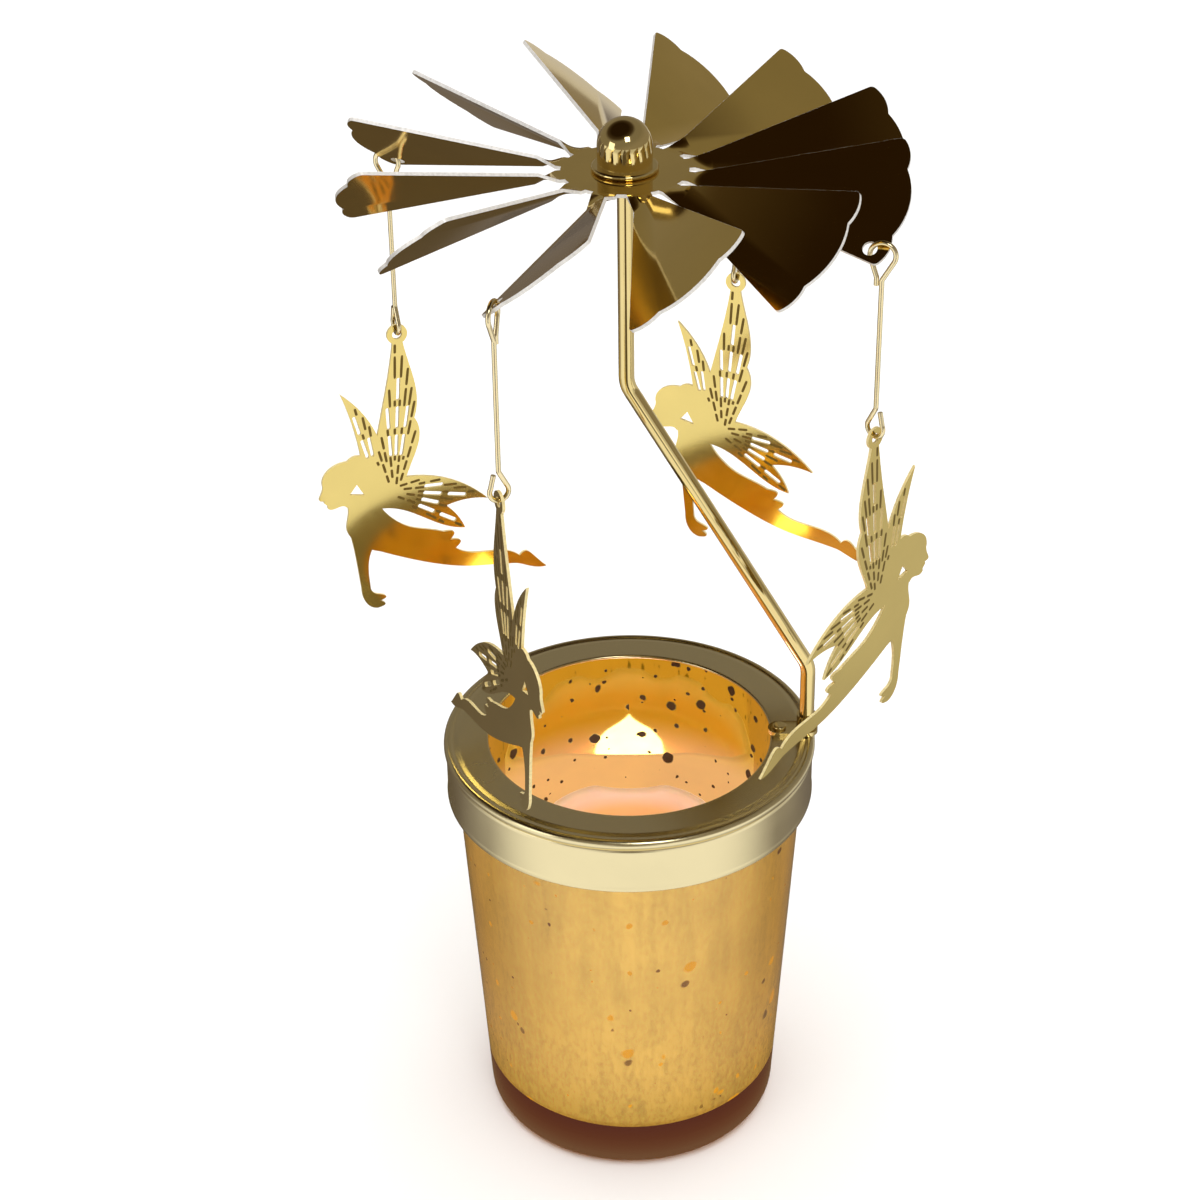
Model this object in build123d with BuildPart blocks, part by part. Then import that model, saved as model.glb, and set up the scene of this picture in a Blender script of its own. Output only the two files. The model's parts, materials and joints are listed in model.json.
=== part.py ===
from build123d import *
import os
from math import atan2, cos, degrees, radians, sin, sqrt

# Candle carousel: a mirrored glass cup, a loose metal collar with a bent arm,
# and a bladed wheel that turns on the arm's needle and carries four hanging fairies.
# Millimetres, +Z up, +X towards the arm, origin at the middle of the cup's flat base.

# Glass cup
cup_height = 80.5
cup_base_r = 27.4
cup_rim_r = 32.4
cup_wall = 3.2
cup_floor = 8.5
cup_foot_round = 3.0
cup_floor_round = 1.6
cup_rim_round = 1.2

# Collar, a pressed sheet lid with a beaded edge
collar_sheet = 0.7
collar_skirt = 10.4
collar_play = 0.5
collar_lip = 3.4
bead_r = 1.0
bead_bulge = 0.4
bead_groove_r = 0.3

# Arm foot and its rivet
foot_sheet = 0.8
foot_width = 4.2
socket_wall = 0.45
socket_height = 3.0
rivet_r = 0.8
rivet_head_r = 1.25
rivet_head_height = 0.6

# Support arm, one bent rod
rod_r = 1.35
arm_inset = 1.6
arm_post = 13.5
arm_rise = 57.0
arm_mast = 37.0
arm_bend_r = 6.0
rod_point = 0.5

# Needle bearing
needle_r = 0.7
needle_set = 6.0
needle_point = 2.2
needle_tip_r = 0.08
tip_gap = 0.05
run_gap = 0.08
fit_gap = 0.02
bush_flange_r = 3.6
bush_flange = 0.8
bush_over_rod = 0.6
bush_stem = 3.6
seat_height = 1.6
seat_dimple = 0.9
seat_dimple_r = 0.9

# Hub cap
cap_r = 4.55
cap_height = 8.8
cap_brim_r = 5.55
cap_brim = 0.9
cap_brim_round = 0.4
cap_bore_r = 3.0
cap_bore_depth = 6.6

# Bladed wheel, one stamped sheet
fan_sheet = 0.6
disc_r = 10.5
neck_start = 11.2
neck_end = 14.6
neck_width = 4.0
blade_count = 12
blade_tilt = 40.0
fan_phase = 12.0
blade_side_along = 43.9
blade_side_across = 11.3
lobe_along = 45.6
lobe_across = 5.9
side_lobe_bulge = 0.8
main_lobe_bulge = 1.6
blade_corner_round = 1.0

# Hanger wires
hanger_count = 4
hang_hole_r = 1.2
hang_margin = 3.0
wire_r = 0.425
loop_r = 2.1
hook_r = 1.6
hook_turn = 310.0
hanger_drop = 30.5
hang_gap = 0.2

# Fairies, flat etched plates, drawn in hundredths of this height below the eye
fairy_height = 54.8
fairy_sheet = 0.5
fairy_eye_r = 1.9
fairy_eye_hole_r = 0.9
# Turn of each figure's feet towards the axis, away from the line of travel
fairy_inward = [17.0, -5.0, 40.0, 40.0]

# Battery votive candle
candle_r = 19.0
candle_height = 47.0
candle_wall = 2.0
candle_side_gap = 1.1
dish_height = 37.0
dish_sheet = 2.0
rim_wave_count = 5
rim_wave_r = 14.0
rim_wave_depth = 1.8
flame_r = 4.5
flame_height = 8.0
flame_wall = 1.1
flame_flange_r = 6.2
flame_flange = 1.2
led_r = 2.5
led_flange_r = 2.9
led_flange = 1.0
led_height = 7.0
holder_r = 4.0
board_r = 14.6
board_sheet = 1.2
post_r = 1.4
post_height = 3.4
base_thickness = 6.0
cell_r = 10.0
cell_thickness = 3.2
cell_play = 0.3
cover_r = 11.8
cover_thickness = 1.4
cover_recess = 0.2
cover_slot_width = 1.6
cover_slot_length = 12.0
cover_slot_depth = 0.6
part_gap = 0.1
knob_width = 2.6
knob_length = 4.4
knob_recess = 0.5
switch_travel = 3.0
switch_flange = 1.0
switch_flange_overlap = 0.5

# Places worked out from the sizes above
cup_mouth_r = cup_rim_r - cup_wall
cup_floor_r = cup_base_r + (cup_rim_r - cup_base_r) * cup_floor / cup_height - cup_wall
band_inner_r = cup_rim_r + collar_play
band_outer_r = band_inner_r + collar_sheet
collar_outer_r = band_outer_r + bead_bulge
collar_top = cup_height + collar_sheet
collar_low = cup_height - collar_skirt
opening_r = cup_mouth_r - collar_lip
bead_centre_r = collar_outer_r - bead_r
arm_r = collar_outer_r - arm_inset
rivet_place_r = cup_mouth_r - collar_lip / 2
foot_top = collar_top + foot_sheet
post_top = foot_top + arm_post
mast_foot = post_top + arm_rise
rod_top = mast_foot + arm_mast
fan_z = rod_top + bush_over_rod + bush_flange
fan_mid_z = fan_z + fan_sheet / 2
cap_z = fan_z + fan_sheet
seat_top = cap_z + cap_bore_depth
seat_z = seat_top - seat_height
needle_top = seat_z + seat_dimple - tip_gap
candle_setback = cup_floor_r - cup_floor_round - candle_r - candle_side_gap
dish_floor = dish_height - dish_sheet
hole_along = (blade_side_along + lobe_along) / 2 + side_lobe_bulge - hang_margin
hole_across = -(blade_side_across + lobe_across) / 2
loop_along = hole_along + (hang_hole_r + hang_margin) / 2
tilt_cos = cos(radians(blade_tilt))
tilt_sin = sin(radians(blade_tilt))
strip_half = (hang_margin - hang_hole_r) / 2
loop_below_blade = sqrt(loop_r**2 - strip_half**2) - (fan_sheet / 2 + wire_r) / tilt_cos - hang_gap
fairy_unit = fairy_height / 100
eye_below_hook = hook_r + fairy_eye_hole_r - wire_r - hang_gap
blade_step = 360 / blade_count
hang_azimuths = [fan_phase - blade_step + k * 360 / hanger_count for k in range(hanger_count)]


def heading(azimuth):
    """Unit vector in the horizontal plane at an azimuth from +X."""
    return Vector(cos(radians(azimuth)), sin(radians(azimuth)), 0)


def blade_point(azimuth, along, across):
    """Point in a blade's middle surface, along its radius and across it."""
    out = heading(azimuth) * along
    side = heading(azimuth + 90) * (across * tilt_cos)
    return out + side + Vector(0, 0, fan_mid_z + across * tilt_sin)


def loop_centre(azimuth):
    """Centre of the wire loop that rides in a blade's hang hole."""
    return blade_point(azimuth, loop_along, hole_across) - Vector(0, 0, loop_below_blade)


def hook_centre(azimuth):
    """Centre of the hook at the lower end of a hanger wire."""
    return loop_centre(azimuth) - Vector(0, 0, hanger_drop)


def fairy_heading(index):
    """Direction of a fairy's flight: the line of travel, turned feet inwards."""
    place = loop_centre(hang_azimuths[index])
    return degrees(atan2(place.Y, place.X)) + 90 - fairy_inward[index]


def save(builder, name):
    """Label a finished piece and write its file."""
    builder.part.label = name
    export_step(builder.part, f"parts/{name}.step")


os.makedirs("parts", exist_ok=True)

# Cup and collar
with BuildPart() as glass_cup:
    with BuildSketch(Plane.XZ):
        with BuildLine():
            Polyline(
                (0, 0),
                (cup_base_r, 0),
                (cup_rim_r, cup_height),
                (cup_mouth_r, cup_height),
                (cup_floor_r, cup_floor),
                (0, cup_floor),
                close=True,
            )
        make_face()
    revolve(axis=Axis.Z)
    rings = glass_cup.edges().filter_by(GeomType.CIRCLE).group_by(Axis.Z)
    fillet(rings[0], cup_foot_round)
    fillet(rings[1], cup_floor_round)
    fillet(rings[-1], cup_rim_round)
save(glass_cup, "glass_cup")

with BuildPart() as collar:
    with BuildSketch(Plane.XZ):
        with Locations((opening_r, cup_height)):
            Rectangle(bead_centre_r - opening_r, collar_sheet, align=(Align.MIN, Align.MIN))
        with Locations((bead_centre_r, collar_top - bead_r)):
            Circle(bead_r)
        with Locations((band_inner_r, collar_low)):
            Rectangle(collar_sheet, collar_top - bead_r - collar_low, align=(Align.MIN, Align.MIN))
        with Locations((opening_r, collar_low)):
            Rectangle(
                band_inner_r - opening_r,
                collar_skirt,
                align=(Align.MIN, Align.MIN),
                mode=Mode.SUBTRACT,
            )
        with Locations((bead_centre_r - bead_r, collar_top)):
            Circle(bead_groove_r, mode=Mode.SUBTRACT)
    revolve(axis=Axis.Z)
    with Locations((rivet_place_r, 0, collar_top)):
        Hole(rivet_r + fit_gap, depth=collar_sheet)
save(collar, "collar")

# Arm foot, rivet and rod
with BuildPart() as arm_foot:
    with BuildSketch(Plane.XY.offset(collar_top)):
        with Locations(((rivet_place_r + arm_r) / 2, 0)):
            SlotCenterToCenter(arm_r - rivet_place_r, foot_width)
        with Locations((rivet_place_r, 0)):
            Circle(rivet_r + fit_gap, mode=Mode.SUBTRACT)
    extrude(amount=foot_sheet)
    with BuildSketch(Plane.XY.offset(foot_top)):
        with Locations((arm_r, 0)):
            Circle(rod_r + fit_gap + socket_wall)
            Circle(rod_r + fit_gap, mode=Mode.SUBTRACT)
    extrude(amount=socket_height)
save(arm_foot, "arm_foot")

with BuildPart() as foot_rivet:
    with BuildSketch(Plane.XY.offset(cup_height - rivet_head_height)):
        with Locations((rivet_place_r, 0)):
            Circle(rivet_head_r)
    extrude(amount=rivet_head_height)
    with BuildSketch(Plane.XY.offset(cup_height)):
        with Locations((rivet_place_r, 0)):
            Circle(rivet_r)
    extrude(amount=collar_sheet + foot_sheet)
    with BuildSketch(Plane.XY.offset(foot_top)):
        with Locations((rivet_place_r, 0)):
            Circle(rivet_head_r)
    extrude(amount=rivet_head_height)
    fillet(foot_rivet.edges().group_by(Axis.Z)[-1], rivet_head_height / 2)
save(foot_rivet, "foot_rivet")

with BuildPart() as support_arm:
    with BuildLine(Plane.XZ) as arm_route:
        FilletPolyline(
            (arm_r, foot_top),
            (arm_r, post_top),
            (0, mast_foot),
            (0, rod_top),
            radius=arm_bend_r,
        )
    with BuildSketch(Plane((arm_r, 0, foot_top))):
        Circle(rod_r)
    sweep(path=arm_route.wires()[0])
    chamfer(support_arm.faces().sort_by(Axis.Z)[-1].edges(), rod_point)
    with Locations((0, 0, rod_top)):
        Hole(needle_r + fit_gap, depth=needle_set)
save(support_arm, "support_arm")

# Needle bearing: pin, bush, seat and cap
with BuildPart() as pivot_needle:
    with BuildSketch(Plane.XZ):
        with BuildLine():
            Polyline(
                (0, rod_top - needle_set),
                (needle_r, rod_top - needle_set),
                (needle_r, needle_top - needle_point),
                (needle_tip_r, needle_top),
                (0, needle_top),
                close=True,
            )
        make_face()
    revolve(axis=Axis.Z)
save(pivot_needle, "pivot_needle")

with BuildPart() as hub_bush:
    with BuildSketch(Plane.XY.offset(fan_z - bush_flange)):
        Circle(bush_flange_r)
    extrude(amount=bush_flange)
    with BuildSketch(Plane.XY.offset(fan_z)):
        Circle(cap_bore_r - fit_gap)
    extrude(amount=bush_stem)
    with Locations((0, 0, fan_z + bush_stem)):
        Hole(needle_r + run_gap)
save(hub_bush, "hub_bush")

with BuildPart() as pivot_seat:
    with BuildSketch(Plane.XY.offset(seat_z)):
        Circle(cap_bore_r - fit_gap)
    extrude(amount=seat_height)
    with BuildSketch(Plane.XZ):
        with BuildLine():
            Polyline((0, seat_z), (seat_dimple_r, seat_z), (0, seat_z + seat_dimple), close=True)
        make_face()
    revolve(axis=Axis.Z, mode=Mode.SUBTRACT)
save(pivot_seat, "pivot_seat")

with BuildPart() as hub_cap:
    with BuildSketch(Plane.XZ) as cap_outline:
        with BuildLine():
            Line((0, cap_z), (cap_r, cap_z))
            Line((cap_r, cap_z), (cap_r, cap_z + cap_height - cap_r))
            RadiusArc((cap_r, cap_z + cap_height - cap_r), (0, cap_z + cap_height), -cap_r)
            Line((0, cap_z + cap_height), (0, cap_z))
        make_face()
        with Locations((0, cap_z)):
            Rectangle(cap_brim_r, cap_brim, align=(Align.MIN, Align.MIN))
        fillet(cap_outline.vertices().group_by(Axis.X)[-1], cap_brim_round)
        with Locations((0, cap_z)):
            Rectangle(cap_bore_r, cap_bore_depth, align=(Align.MIN, Align.MIN), mode=Mode.SUBTRACT)
    revolve(axis=Axis.Z)
save(hub_cap, "hub_cap")

# Bladed wheel
with BuildPart() as blade:
    with BuildSketch(Plane.XY) as blade_outline:
        with BuildLine():
            tip_mid = (lobe_along + main_lobe_bulge, 0)
            side_mid_along = (blade_side_along + lobe_along) / 2 + side_lobe_bulge
            side_mid_across = (blade_side_across + lobe_across) / 2
            Line((neck_end, neck_width / 2), (blade_side_along, blade_side_across))
            ThreePointArc(
                (blade_side_along, blade_side_across),
                (side_mid_along, side_mid_across),
                (lobe_along, lobe_across),
            )
            ThreePointArc((lobe_along, lobe_across), tip_mid, (lobe_along, -lobe_across))
            ThreePointArc(
                (lobe_along, -lobe_across),
                (side_mid_along, -side_mid_across),
                (blade_side_along, -blade_side_across),
            )
            Line((blade_side_along, -blade_side_across), (neck_end, -neck_width / 2))
            Line((neck_end, -neck_width / 2), (neck_end, neck_width / 2))
        make_face()
        corners = blade_outline.vertices().sort_by(Axis.Y)
        fillet([corners[0], corners[-1]], blade_corner_round)
    extrude(amount=fan_sheet / 2, both=True)

with BuildPart() as fan_wheel:
    with BuildSketch(Plane.XY.offset(fan_z)):
        Circle(disc_r)
        with PolarLocations(neck_start / 2, blade_count, start_angle=fan_phase):
            Rectangle(neck_start, neck_width)
        Circle(cap_bore_r, mode=Mode.SUBTRACT)
    extrude(amount=fan_sheet)
    for k in range(blade_count):
        azimuth = fan_phase + k * blade_step
        root = heading(azimuth) * neck_start + Vector(0, 0, fan_mid_z)
        twisted = heading(azimuth) * neck_end + Vector(0, 0, fan_mid_z)
        across = heading(azimuth + 90)
        with BuildSketch(Plane(root, x_dir=across, z_dir=heading(azimuth))):
            Rectangle(neck_width, fan_sheet)
        tilted_across = across * tilt_cos + Vector(0, 0, tilt_sin)
        with BuildSketch(Plane(twisted, x_dir=tilted_across, z_dir=heading(azimuth))):
            Rectangle(neck_width, fan_sheet)
        loft(ruled=True)
        blade_normal = Vector(0, 0, tilt_cos) - across * tilt_sin
        blade_plane = Plane((0, 0, fan_mid_z), x_dir=heading(azimuth), z_dir=blade_normal)
        add(blade_plane * blade.part)
    for azimuth in hang_azimuths:
        hole_plane = Plane(
            blade_point(azimuth, hole_along, hole_across),
            x_dir=heading(azimuth),
            z_dir=Vector(0, 0, tilt_cos) - heading(azimuth + 90) * tilt_sin,
        )
        with BuildSketch(hole_plane):
            Circle(hang_hole_r)
        extrude(amount=fan_sheet, both=True, mode=Mode.SUBTRACT)
save(fan_wheel, "fan_wheel")


def make_hanger(index):
    """Wire with a closed loop in the blade's hole and an open hook at the fairy's eye."""
    azimuth = hang_azimuths[index]
    loop = loop_centre(azimuth)
    hook = hook_centre(azimuth)
    shank_top = loop - Vector(0, 0, loop_r)
    shank_length = hanger_drop - loop_r - hook_r
    flight = heading(fairy_heading(index))
    hook_start = Vector(0, 0, 1)
    with BuildPart() as hanger:
        with Locations(Plane(loop, x_dir=heading(azimuth), z_dir=heading(azimuth + 90))):
            Torus(loop_r, wire_r)
        with Locations(Plane(shank_top)):
            Cylinder(wire_r, shank_length, align=(Align.CENTER, Align.CENTER, Align.MAX))
        with Locations(Plane(hook, x_dir=hook_start, z_dir=flight)):
            Torus(hook_r, wire_r, major_angle=hook_turn)
    return hanger


def wing_cells(root, angles, counts, start, cell, gap, width):
    """Slots on rays that fan out from a point near a wing's root; each ray has its own count."""
    for angle, count in zip(angles, counts):
        for step in range(count):
            middle = start + step * (cell + gap) + cell / 2
            flight = (root[0] + middle * cos(radians(angle))) * fairy_unit
            up = (root[1] + middle * sin(radians(angle))) * fairy_unit
            with Locations(Location((flight, up), angle)):
                SlotOverall(cell * fairy_unit, width * fairy_unit, mode=Mode.SUBTRACT)


def drawn_face(*curves):
    """Face whose outline passes through these rows of drawn points, end to end."""
    with BuildSketch() as drawn:
        with BuildLine():
            for points in curves:
                scaled = [(flight * fairy_unit, up * fairy_unit) for flight, up in points]
                if len(scaled) == 2:
                    Line(*scaled)
                else:
                    Spline(*scaled)
        make_face()
    return drawn.sketch


def make_fairy(index):
    """Flat flying fairy, hung by the eye at the tip of its tall wing."""
    flight = heading(fairy_heading(index))
    eye = hook_centre(hang_azimuths[index]) - Vector(0, 0, eye_below_hook)
    plate = Plane(eye, x_dir=flight, z_dir=Vector(flight.Y, -flight.X, 0))
    with BuildPart() as fairy:
        with BuildSketch(plate):
            Circle(fairy_eye_r)
            # Tall wing
            tall_wing = drawn_face(
                [(1.6, -1.8), (3.5, -12.8), (8.4, -33.8), (13.1, -59.5)],
                [(13.1, -59.5), (0.4, -56.6)],
                [(0.4, -56.6), (-3.4, -45.6), (-5.9, -37.4), (-4.4, -31.0)],
                [(-4.4, -31.0), (-5.6, -24.6), (-4.4, -14.6), (-1.6, -1.8)],
                [(-1.6, -1.8), (1.6, -1.8)],
            )
            add(tall_wing)
            # Short wing behind the head
            short_wing = drawn_face(
                [(20.4, -17.5), (17.0, -29.2), (13.9, -56.6)],
                [(13.9, -56.6), (6.6, -52.0)],
                [(6.6, -52.0), (9.5, -32.8), (20.4, -17.5)],
            )
            add(short_wing)
            # Lower wing with two tips
            lower_wing = drawn_face(
                [(7.3, -52.2), (-9.9, -54.2), (-28.8, -66.8)],
                [(-28.8, -66.8), (-17.5, -65.7), (-13.9, -66.4)],
                [(-13.9, -66.4), (-17.2, -70.1), (-20.4, -76.3)],
                [(-20.4, -76.3), (-10.9, -72.4), (1.1, -64.6), (12.8, -62.4)],
                [(12.8, -62.4), (7.3, -52.2)],
            )
            add(lower_wing)
            # Body, from the neck along the belly to the toe, then heel, leg, skirt's hem and back
            body = drawn_face(
                [(21.4, -56.6), (20.4, -62.4), (21.2, -67.4), (18.4, -72.8), (10.4, -78.2)],
                [(10.4, -78.2), (-8.8, -87.6), (-20.8, -91.6), (-31.0, -93.4), (-38.8, -94.9)],
                [(-38.8, -94.9), (-42.0, -96.4), (-45.6, -98.0), (-49.6, -98.5)],
                [(-49.6, -98.5), (-47.4, -96.2), (-44.4, -92.6), (-42.4, -90.9), (-39.8, -92.1)],
                [(-39.8, -92.1), (-32.0, -88.2), (-24.0, -87.0), (-16.6, -83.4)],
                [(-16.6, -83.4), (-18.6, -81.2), (-14.8, -79.8)],
                [(-14.8, -79.8), (-16.4, -77.4), (-12.6, -76.2)],
                [(-12.6, -76.2), (-7.2, -74.0), (-1.0, -71.6), (4.4, -67.6), (9.1, -61.3)],
                [(9.1, -61.3), (12.4, -52.6)],
                [(12.4, -52.6), (21.4, -56.6)],
            )
            add(body)
            # Arm, hand and thumb
            arm = drawn_face(
                [(20.4, -68.4), (18.9, -77.0), (18.1, -84.4), (17.4, -91.4)],
                [(17.4, -91.4), (17.0, -95.0), (15.0, -98.6), (12.2, -100.0)],
                [(12.2, -100.0), (9.4, -99.0), (11.2, -97.4)],
                [(11.2, -97.4), (9.0, -96.4), (11.4, -94.8)],
                [(11.4, -94.8), (13.6, -93.4), (14.3, -90.8)],
                [(14.3, -90.8), (14.6, -84.6), (13.8, -79.2), (11.0, -74.4)],
                [(11.0, -74.4), (20.4, -68.4)],
            )
            add(arm)
            # Head in profile with loose waved hair
            head = drawn_face(
                [(20.6, -59.2), (22.8, -58.2), (25.6, -58.7), (27.3, -57.8)],
                [(27.3, -57.8), (27.5, -56.6), (28.3, -55.8), (28.0, -54.9)],
                [(28.0, -54.9), (29.9, -54.0), (29.3, -52.6), (28.7, -51.2), (28.6, -48.8)],
                [(28.6, -48.8), (27.4, -45.2), (23.4, -42.6), (19.6, -42.2)],
                [(19.6, -42.2), (16.2, -40.8), (12.4, -42.6), (10.6, -46.2)],
                [(10.6, -46.2), (9.0, -50.2), (11.6, -54.4)],
                [(11.6, -54.4), (20.6, -59.2)],
            )
            add(head)
            # Gap between the hair and the shoulder
            nape = drawn_face(
                [(19.4, -54.6), (16.8, -51.4)],
                [(16.8, -51.4), (14.4, -55.8)],
                [(14.4, -55.8), (19.4, -54.6)],
            )
            add(nape, mode=Mode.SUBTRACT)
            Circle(fairy_eye_hole_r, mode=Mode.SUBTRACT)
            wing_cells(
                root=(4.0, -60.2),
                angles=[88.7, 94.7, 100.7],
                counts=[2, 3, 2],
                start=16.4,
                cell=8.0,
                gap=2.2,
                width=1.2,
            )
            wing_cells(
                root=(8.4, -58.4),
                angles=[76.0, 82.0],
                counts=[2, 1],
                start=16.4,
                cell=7.3,
                gap=2.0,
                width=1.1,
            )
            wing_cells(
                root=(8.0, -55.8),
                angles=[186.0, 195.3, 204.6, 213.9],
                counts=[1, 2, 1, 2],
                start=14.6,
                cell=6.9,
                gap=2.0,
                width=1.5,
            )
        extrude(amount=fairy_sheet / 2, both=True)
    return fairy


for k in range(hanger_count):
    save(make_hanger(k), f"hanger_{k + 1}")
    save(make_fairy(k), f"fairy_{k + 1}")

# Battery votive candle, standing on the cup's floor
candle_axis = Axis((0, candle_setback, 0), (0, 0, 1))
candle_section = Plane((0, candle_setback, cup_floor), x_dir=(1, 0, 0), z_dir=(0, -1, 0))
candle_inner_r = candle_r - candle_wall
holder_z = base_thickness + post_height + board_sheet
led_z = dish_floor - flame_flange
slot_r = (cover_r + part_gap + candle_inner_r) / 2
knob_start = switch_travel / 2
cover_top = cover_recess + cover_thickness


def candle_level(height):
    """Horizontal plane on the candle's axis at a height above its underside."""
    return Plane((0, candle_setback, cup_floor + height))


with BuildPart() as candle_shell:
    with BuildSketch(candle_section):
        Rectangle(candle_r, candle_height, align=(Align.MIN, Align.MIN))
        Rectangle(candle_inner_r, dish_floor, align=(Align.MIN, Align.MIN), mode=Mode.SUBTRACT)
        with Locations((0, dish_height)):
            Rectangle(candle_inner_r, candle_height, align=(Align.MIN, Align.MIN), mode=Mode.SUBTRACT)
        Rectangle(flame_r + part_gap, candle_height, align=(Align.MIN, Align.MIN), mode=Mode.SUBTRACT)
    revolve(axis=candle_axis)
    with Locations(candle_level(candle_height + rim_wave_r - rim_wave_depth)):
        with PolarLocations(candle_r, rim_wave_count, start_angle=90):
            Cylinder(rim_wave_r, 4 * candle_wall, rotation=(0, 90, 0), mode=Mode.SUBTRACT)
save(candle_shell, "candle_shell")

with BuildPart() as candle_flame:
    with BuildSketch(candle_section):
        with BuildLine():
            flame_base = (flame_r, dish_floor)
            flame_tip = (0, dish_height + flame_height)
            inner_r = flame_r - flame_wall
            inner_tip = (0, dish_height + flame_height / 2)
            Polyline(
                (inner_r, dish_floor - flame_flange),
                (flame_flange_r, dish_floor - flame_flange),
                (flame_flange_r, dish_floor),
                flame_base,
                (flame_r, dish_height),
            )
            Spline((flame_r, dish_height), flame_tip, tangents=[(0, 1), (-0.35, 1)])
            Line(flame_tip, inner_tip)
            Spline(inner_tip, (inner_r, dish_height), tangents=[(1, 0), (0, -1)])
            Line((inner_r, dish_height), (inner_r, dish_floor - flame_flange))
        make_face()
    revolve(axis=candle_axis)
save(candle_flame, "candle_flame")

with BuildPart() as led_lamp:
    with BuildSketch(candle_section):
        with BuildLine():
            Polyline(
                (0, led_z),
                (led_flange_r, led_z),
                (led_flange_r, led_z + led_flange),
                (led_r, led_z + led_flange),
                (led_r, led_z + led_height - led_r),
            )
            RadiusArc((led_r, led_z + led_height - led_r), (0, led_z + led_height), -led_r)
            Line((0, led_z + led_height), (0, led_z))
        make_face()
    revolve(axis=candle_axis)
save(led_lamp, "led_lamp")

with BuildPart() as lamp_holder:
    with BuildSketch(candle_level(holder_z)):
        Circle(holder_r)
    extrude(amount=led_z - holder_z)
save(lamp_holder, "lamp_holder")

with BuildPart() as circuit_board:
    with BuildSketch(candle_level(base_thickness + post_height)):
        Circle(board_r)
    extrude(amount=board_sheet)
save(circuit_board, "circuit_board")

with BuildPart() as candle_base:
    with BuildSketch(candle_level(0)):
        Circle(candle_inner_r - part_gap)
    extrude(amount=base_thickness)
    with BuildSketch(candle_level(0)):
        Circle(cover_r + part_gap)
    extrude(amount=cover_top, mode=Mode.SUBTRACT)
    with BuildSketch(candle_level(cover_top)):
        Circle(cell_r + cell_play)
    extrude(amount=cell_thickness, mode=Mode.SUBTRACT)
    with BuildSketch(candle_level(0)):
        with Locations((0, slot_r)):
            Rectangle(knob_length + switch_travel + 2 * part_gap, knob_width + 2 * part_gap)
    extrude(amount=base_thickness, mode=Mode.SUBTRACT)
    with BuildSketch(candle_level(base_thickness)):
        with PolarLocations(board_r - 2 * post_r, 3, start_angle=30):
            Circle(post_r)
    extrude(amount=post_height)
save(candle_base, "candle_base")

with BuildPart() as coin_cell:
    with BuildSketch(candle_level(cover_top)):
        Circle(cell_r)
    extrude(amount=cell_thickness)
save(coin_cell, "coin_cell")

with BuildPart() as battery_cover:
    with BuildSketch(candle_level(cover_recess)):
        Circle(cover_r)
    extrude(amount=cover_thickness)
    with BuildSketch(candle_level(cover_recess)):
        SlotOverall(cover_slot_length, cover_slot_width)
    extrude(amount=cover_slot_depth, mode=Mode.SUBTRACT)
save(battery_cover, "battery_cover")

with BuildPart() as power_switch:
    with BuildSketch(candle_level(knob_recess)):
        with Locations((knob_start, slot_r)):
            Rectangle(knob_length, knob_width)
    extrude(amount=base_thickness + part_gap - knob_recess)
    with BuildSketch(candle_level(base_thickness + part_gap)):
        with Locations((knob_start, slot_r)):
            Rectangle(knob_length + 2 * switch_flange_overlap, knob_width + 2 * switch_flange_overlap)
    extrude(amount=switch_flange)
save(power_switch, "power_switch")
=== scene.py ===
import json
from math import acos, cos, hypot, pi, radians, sin, sqrt

import bmesh
import bpy
from bpy.props import FloatProperty, FloatVectorProperty, IntProperty, PointerProperty
from mathutils import Matrix, Vector
from mathutils.bvhtree import BVHTree


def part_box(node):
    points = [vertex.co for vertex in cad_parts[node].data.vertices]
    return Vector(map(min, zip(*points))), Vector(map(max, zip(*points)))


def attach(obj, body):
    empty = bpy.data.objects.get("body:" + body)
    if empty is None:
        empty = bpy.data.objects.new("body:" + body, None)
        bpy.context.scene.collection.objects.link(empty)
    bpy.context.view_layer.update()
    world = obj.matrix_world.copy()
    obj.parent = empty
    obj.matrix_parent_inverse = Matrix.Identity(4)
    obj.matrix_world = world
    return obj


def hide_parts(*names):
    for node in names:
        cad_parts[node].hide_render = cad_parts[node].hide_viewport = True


bl_info = {
    "name": "Candle Carousel",
    "version": (1, 0, 0),
    "blender": (4, 5, 0),
    "location": "3D View > Sidebar > Carousel",
    "description": "Dresses the candle carousel's construction model with its finishes and fine pieces",
    "category": "Object",
}

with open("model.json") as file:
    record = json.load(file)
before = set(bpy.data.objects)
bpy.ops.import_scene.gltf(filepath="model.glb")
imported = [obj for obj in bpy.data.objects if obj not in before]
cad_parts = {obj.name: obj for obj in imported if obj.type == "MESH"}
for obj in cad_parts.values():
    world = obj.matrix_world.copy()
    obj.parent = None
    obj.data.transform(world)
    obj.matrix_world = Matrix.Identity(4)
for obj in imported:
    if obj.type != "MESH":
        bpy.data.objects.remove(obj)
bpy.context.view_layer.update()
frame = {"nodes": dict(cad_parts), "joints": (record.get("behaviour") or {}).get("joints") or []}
NODES = frame["nodes"]
JOINTS = {joint["name"]: joint for joint in frame["joints"]}
HANGERS = (1, 2, 3, 4)
MM = 0.001
UP = Vector((0, 0, 1))


def length(label, description, millimetres):
    """A size in metres, given here in millimetres."""
    return FloatProperty(
        name=label, description=description, default=millimetres * MM, unit="LENGTH", precision=5
    )


def slant(label, description, degrees):
    """An angle, given here in degrees."""
    return FloatProperty(name=label, description=description, default=radians(degrees), subtype="ANGLE")


def plain(label, description, default):
    """A plain number."""
    return FloatProperty(name=label, description=description, default=default)


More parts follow.
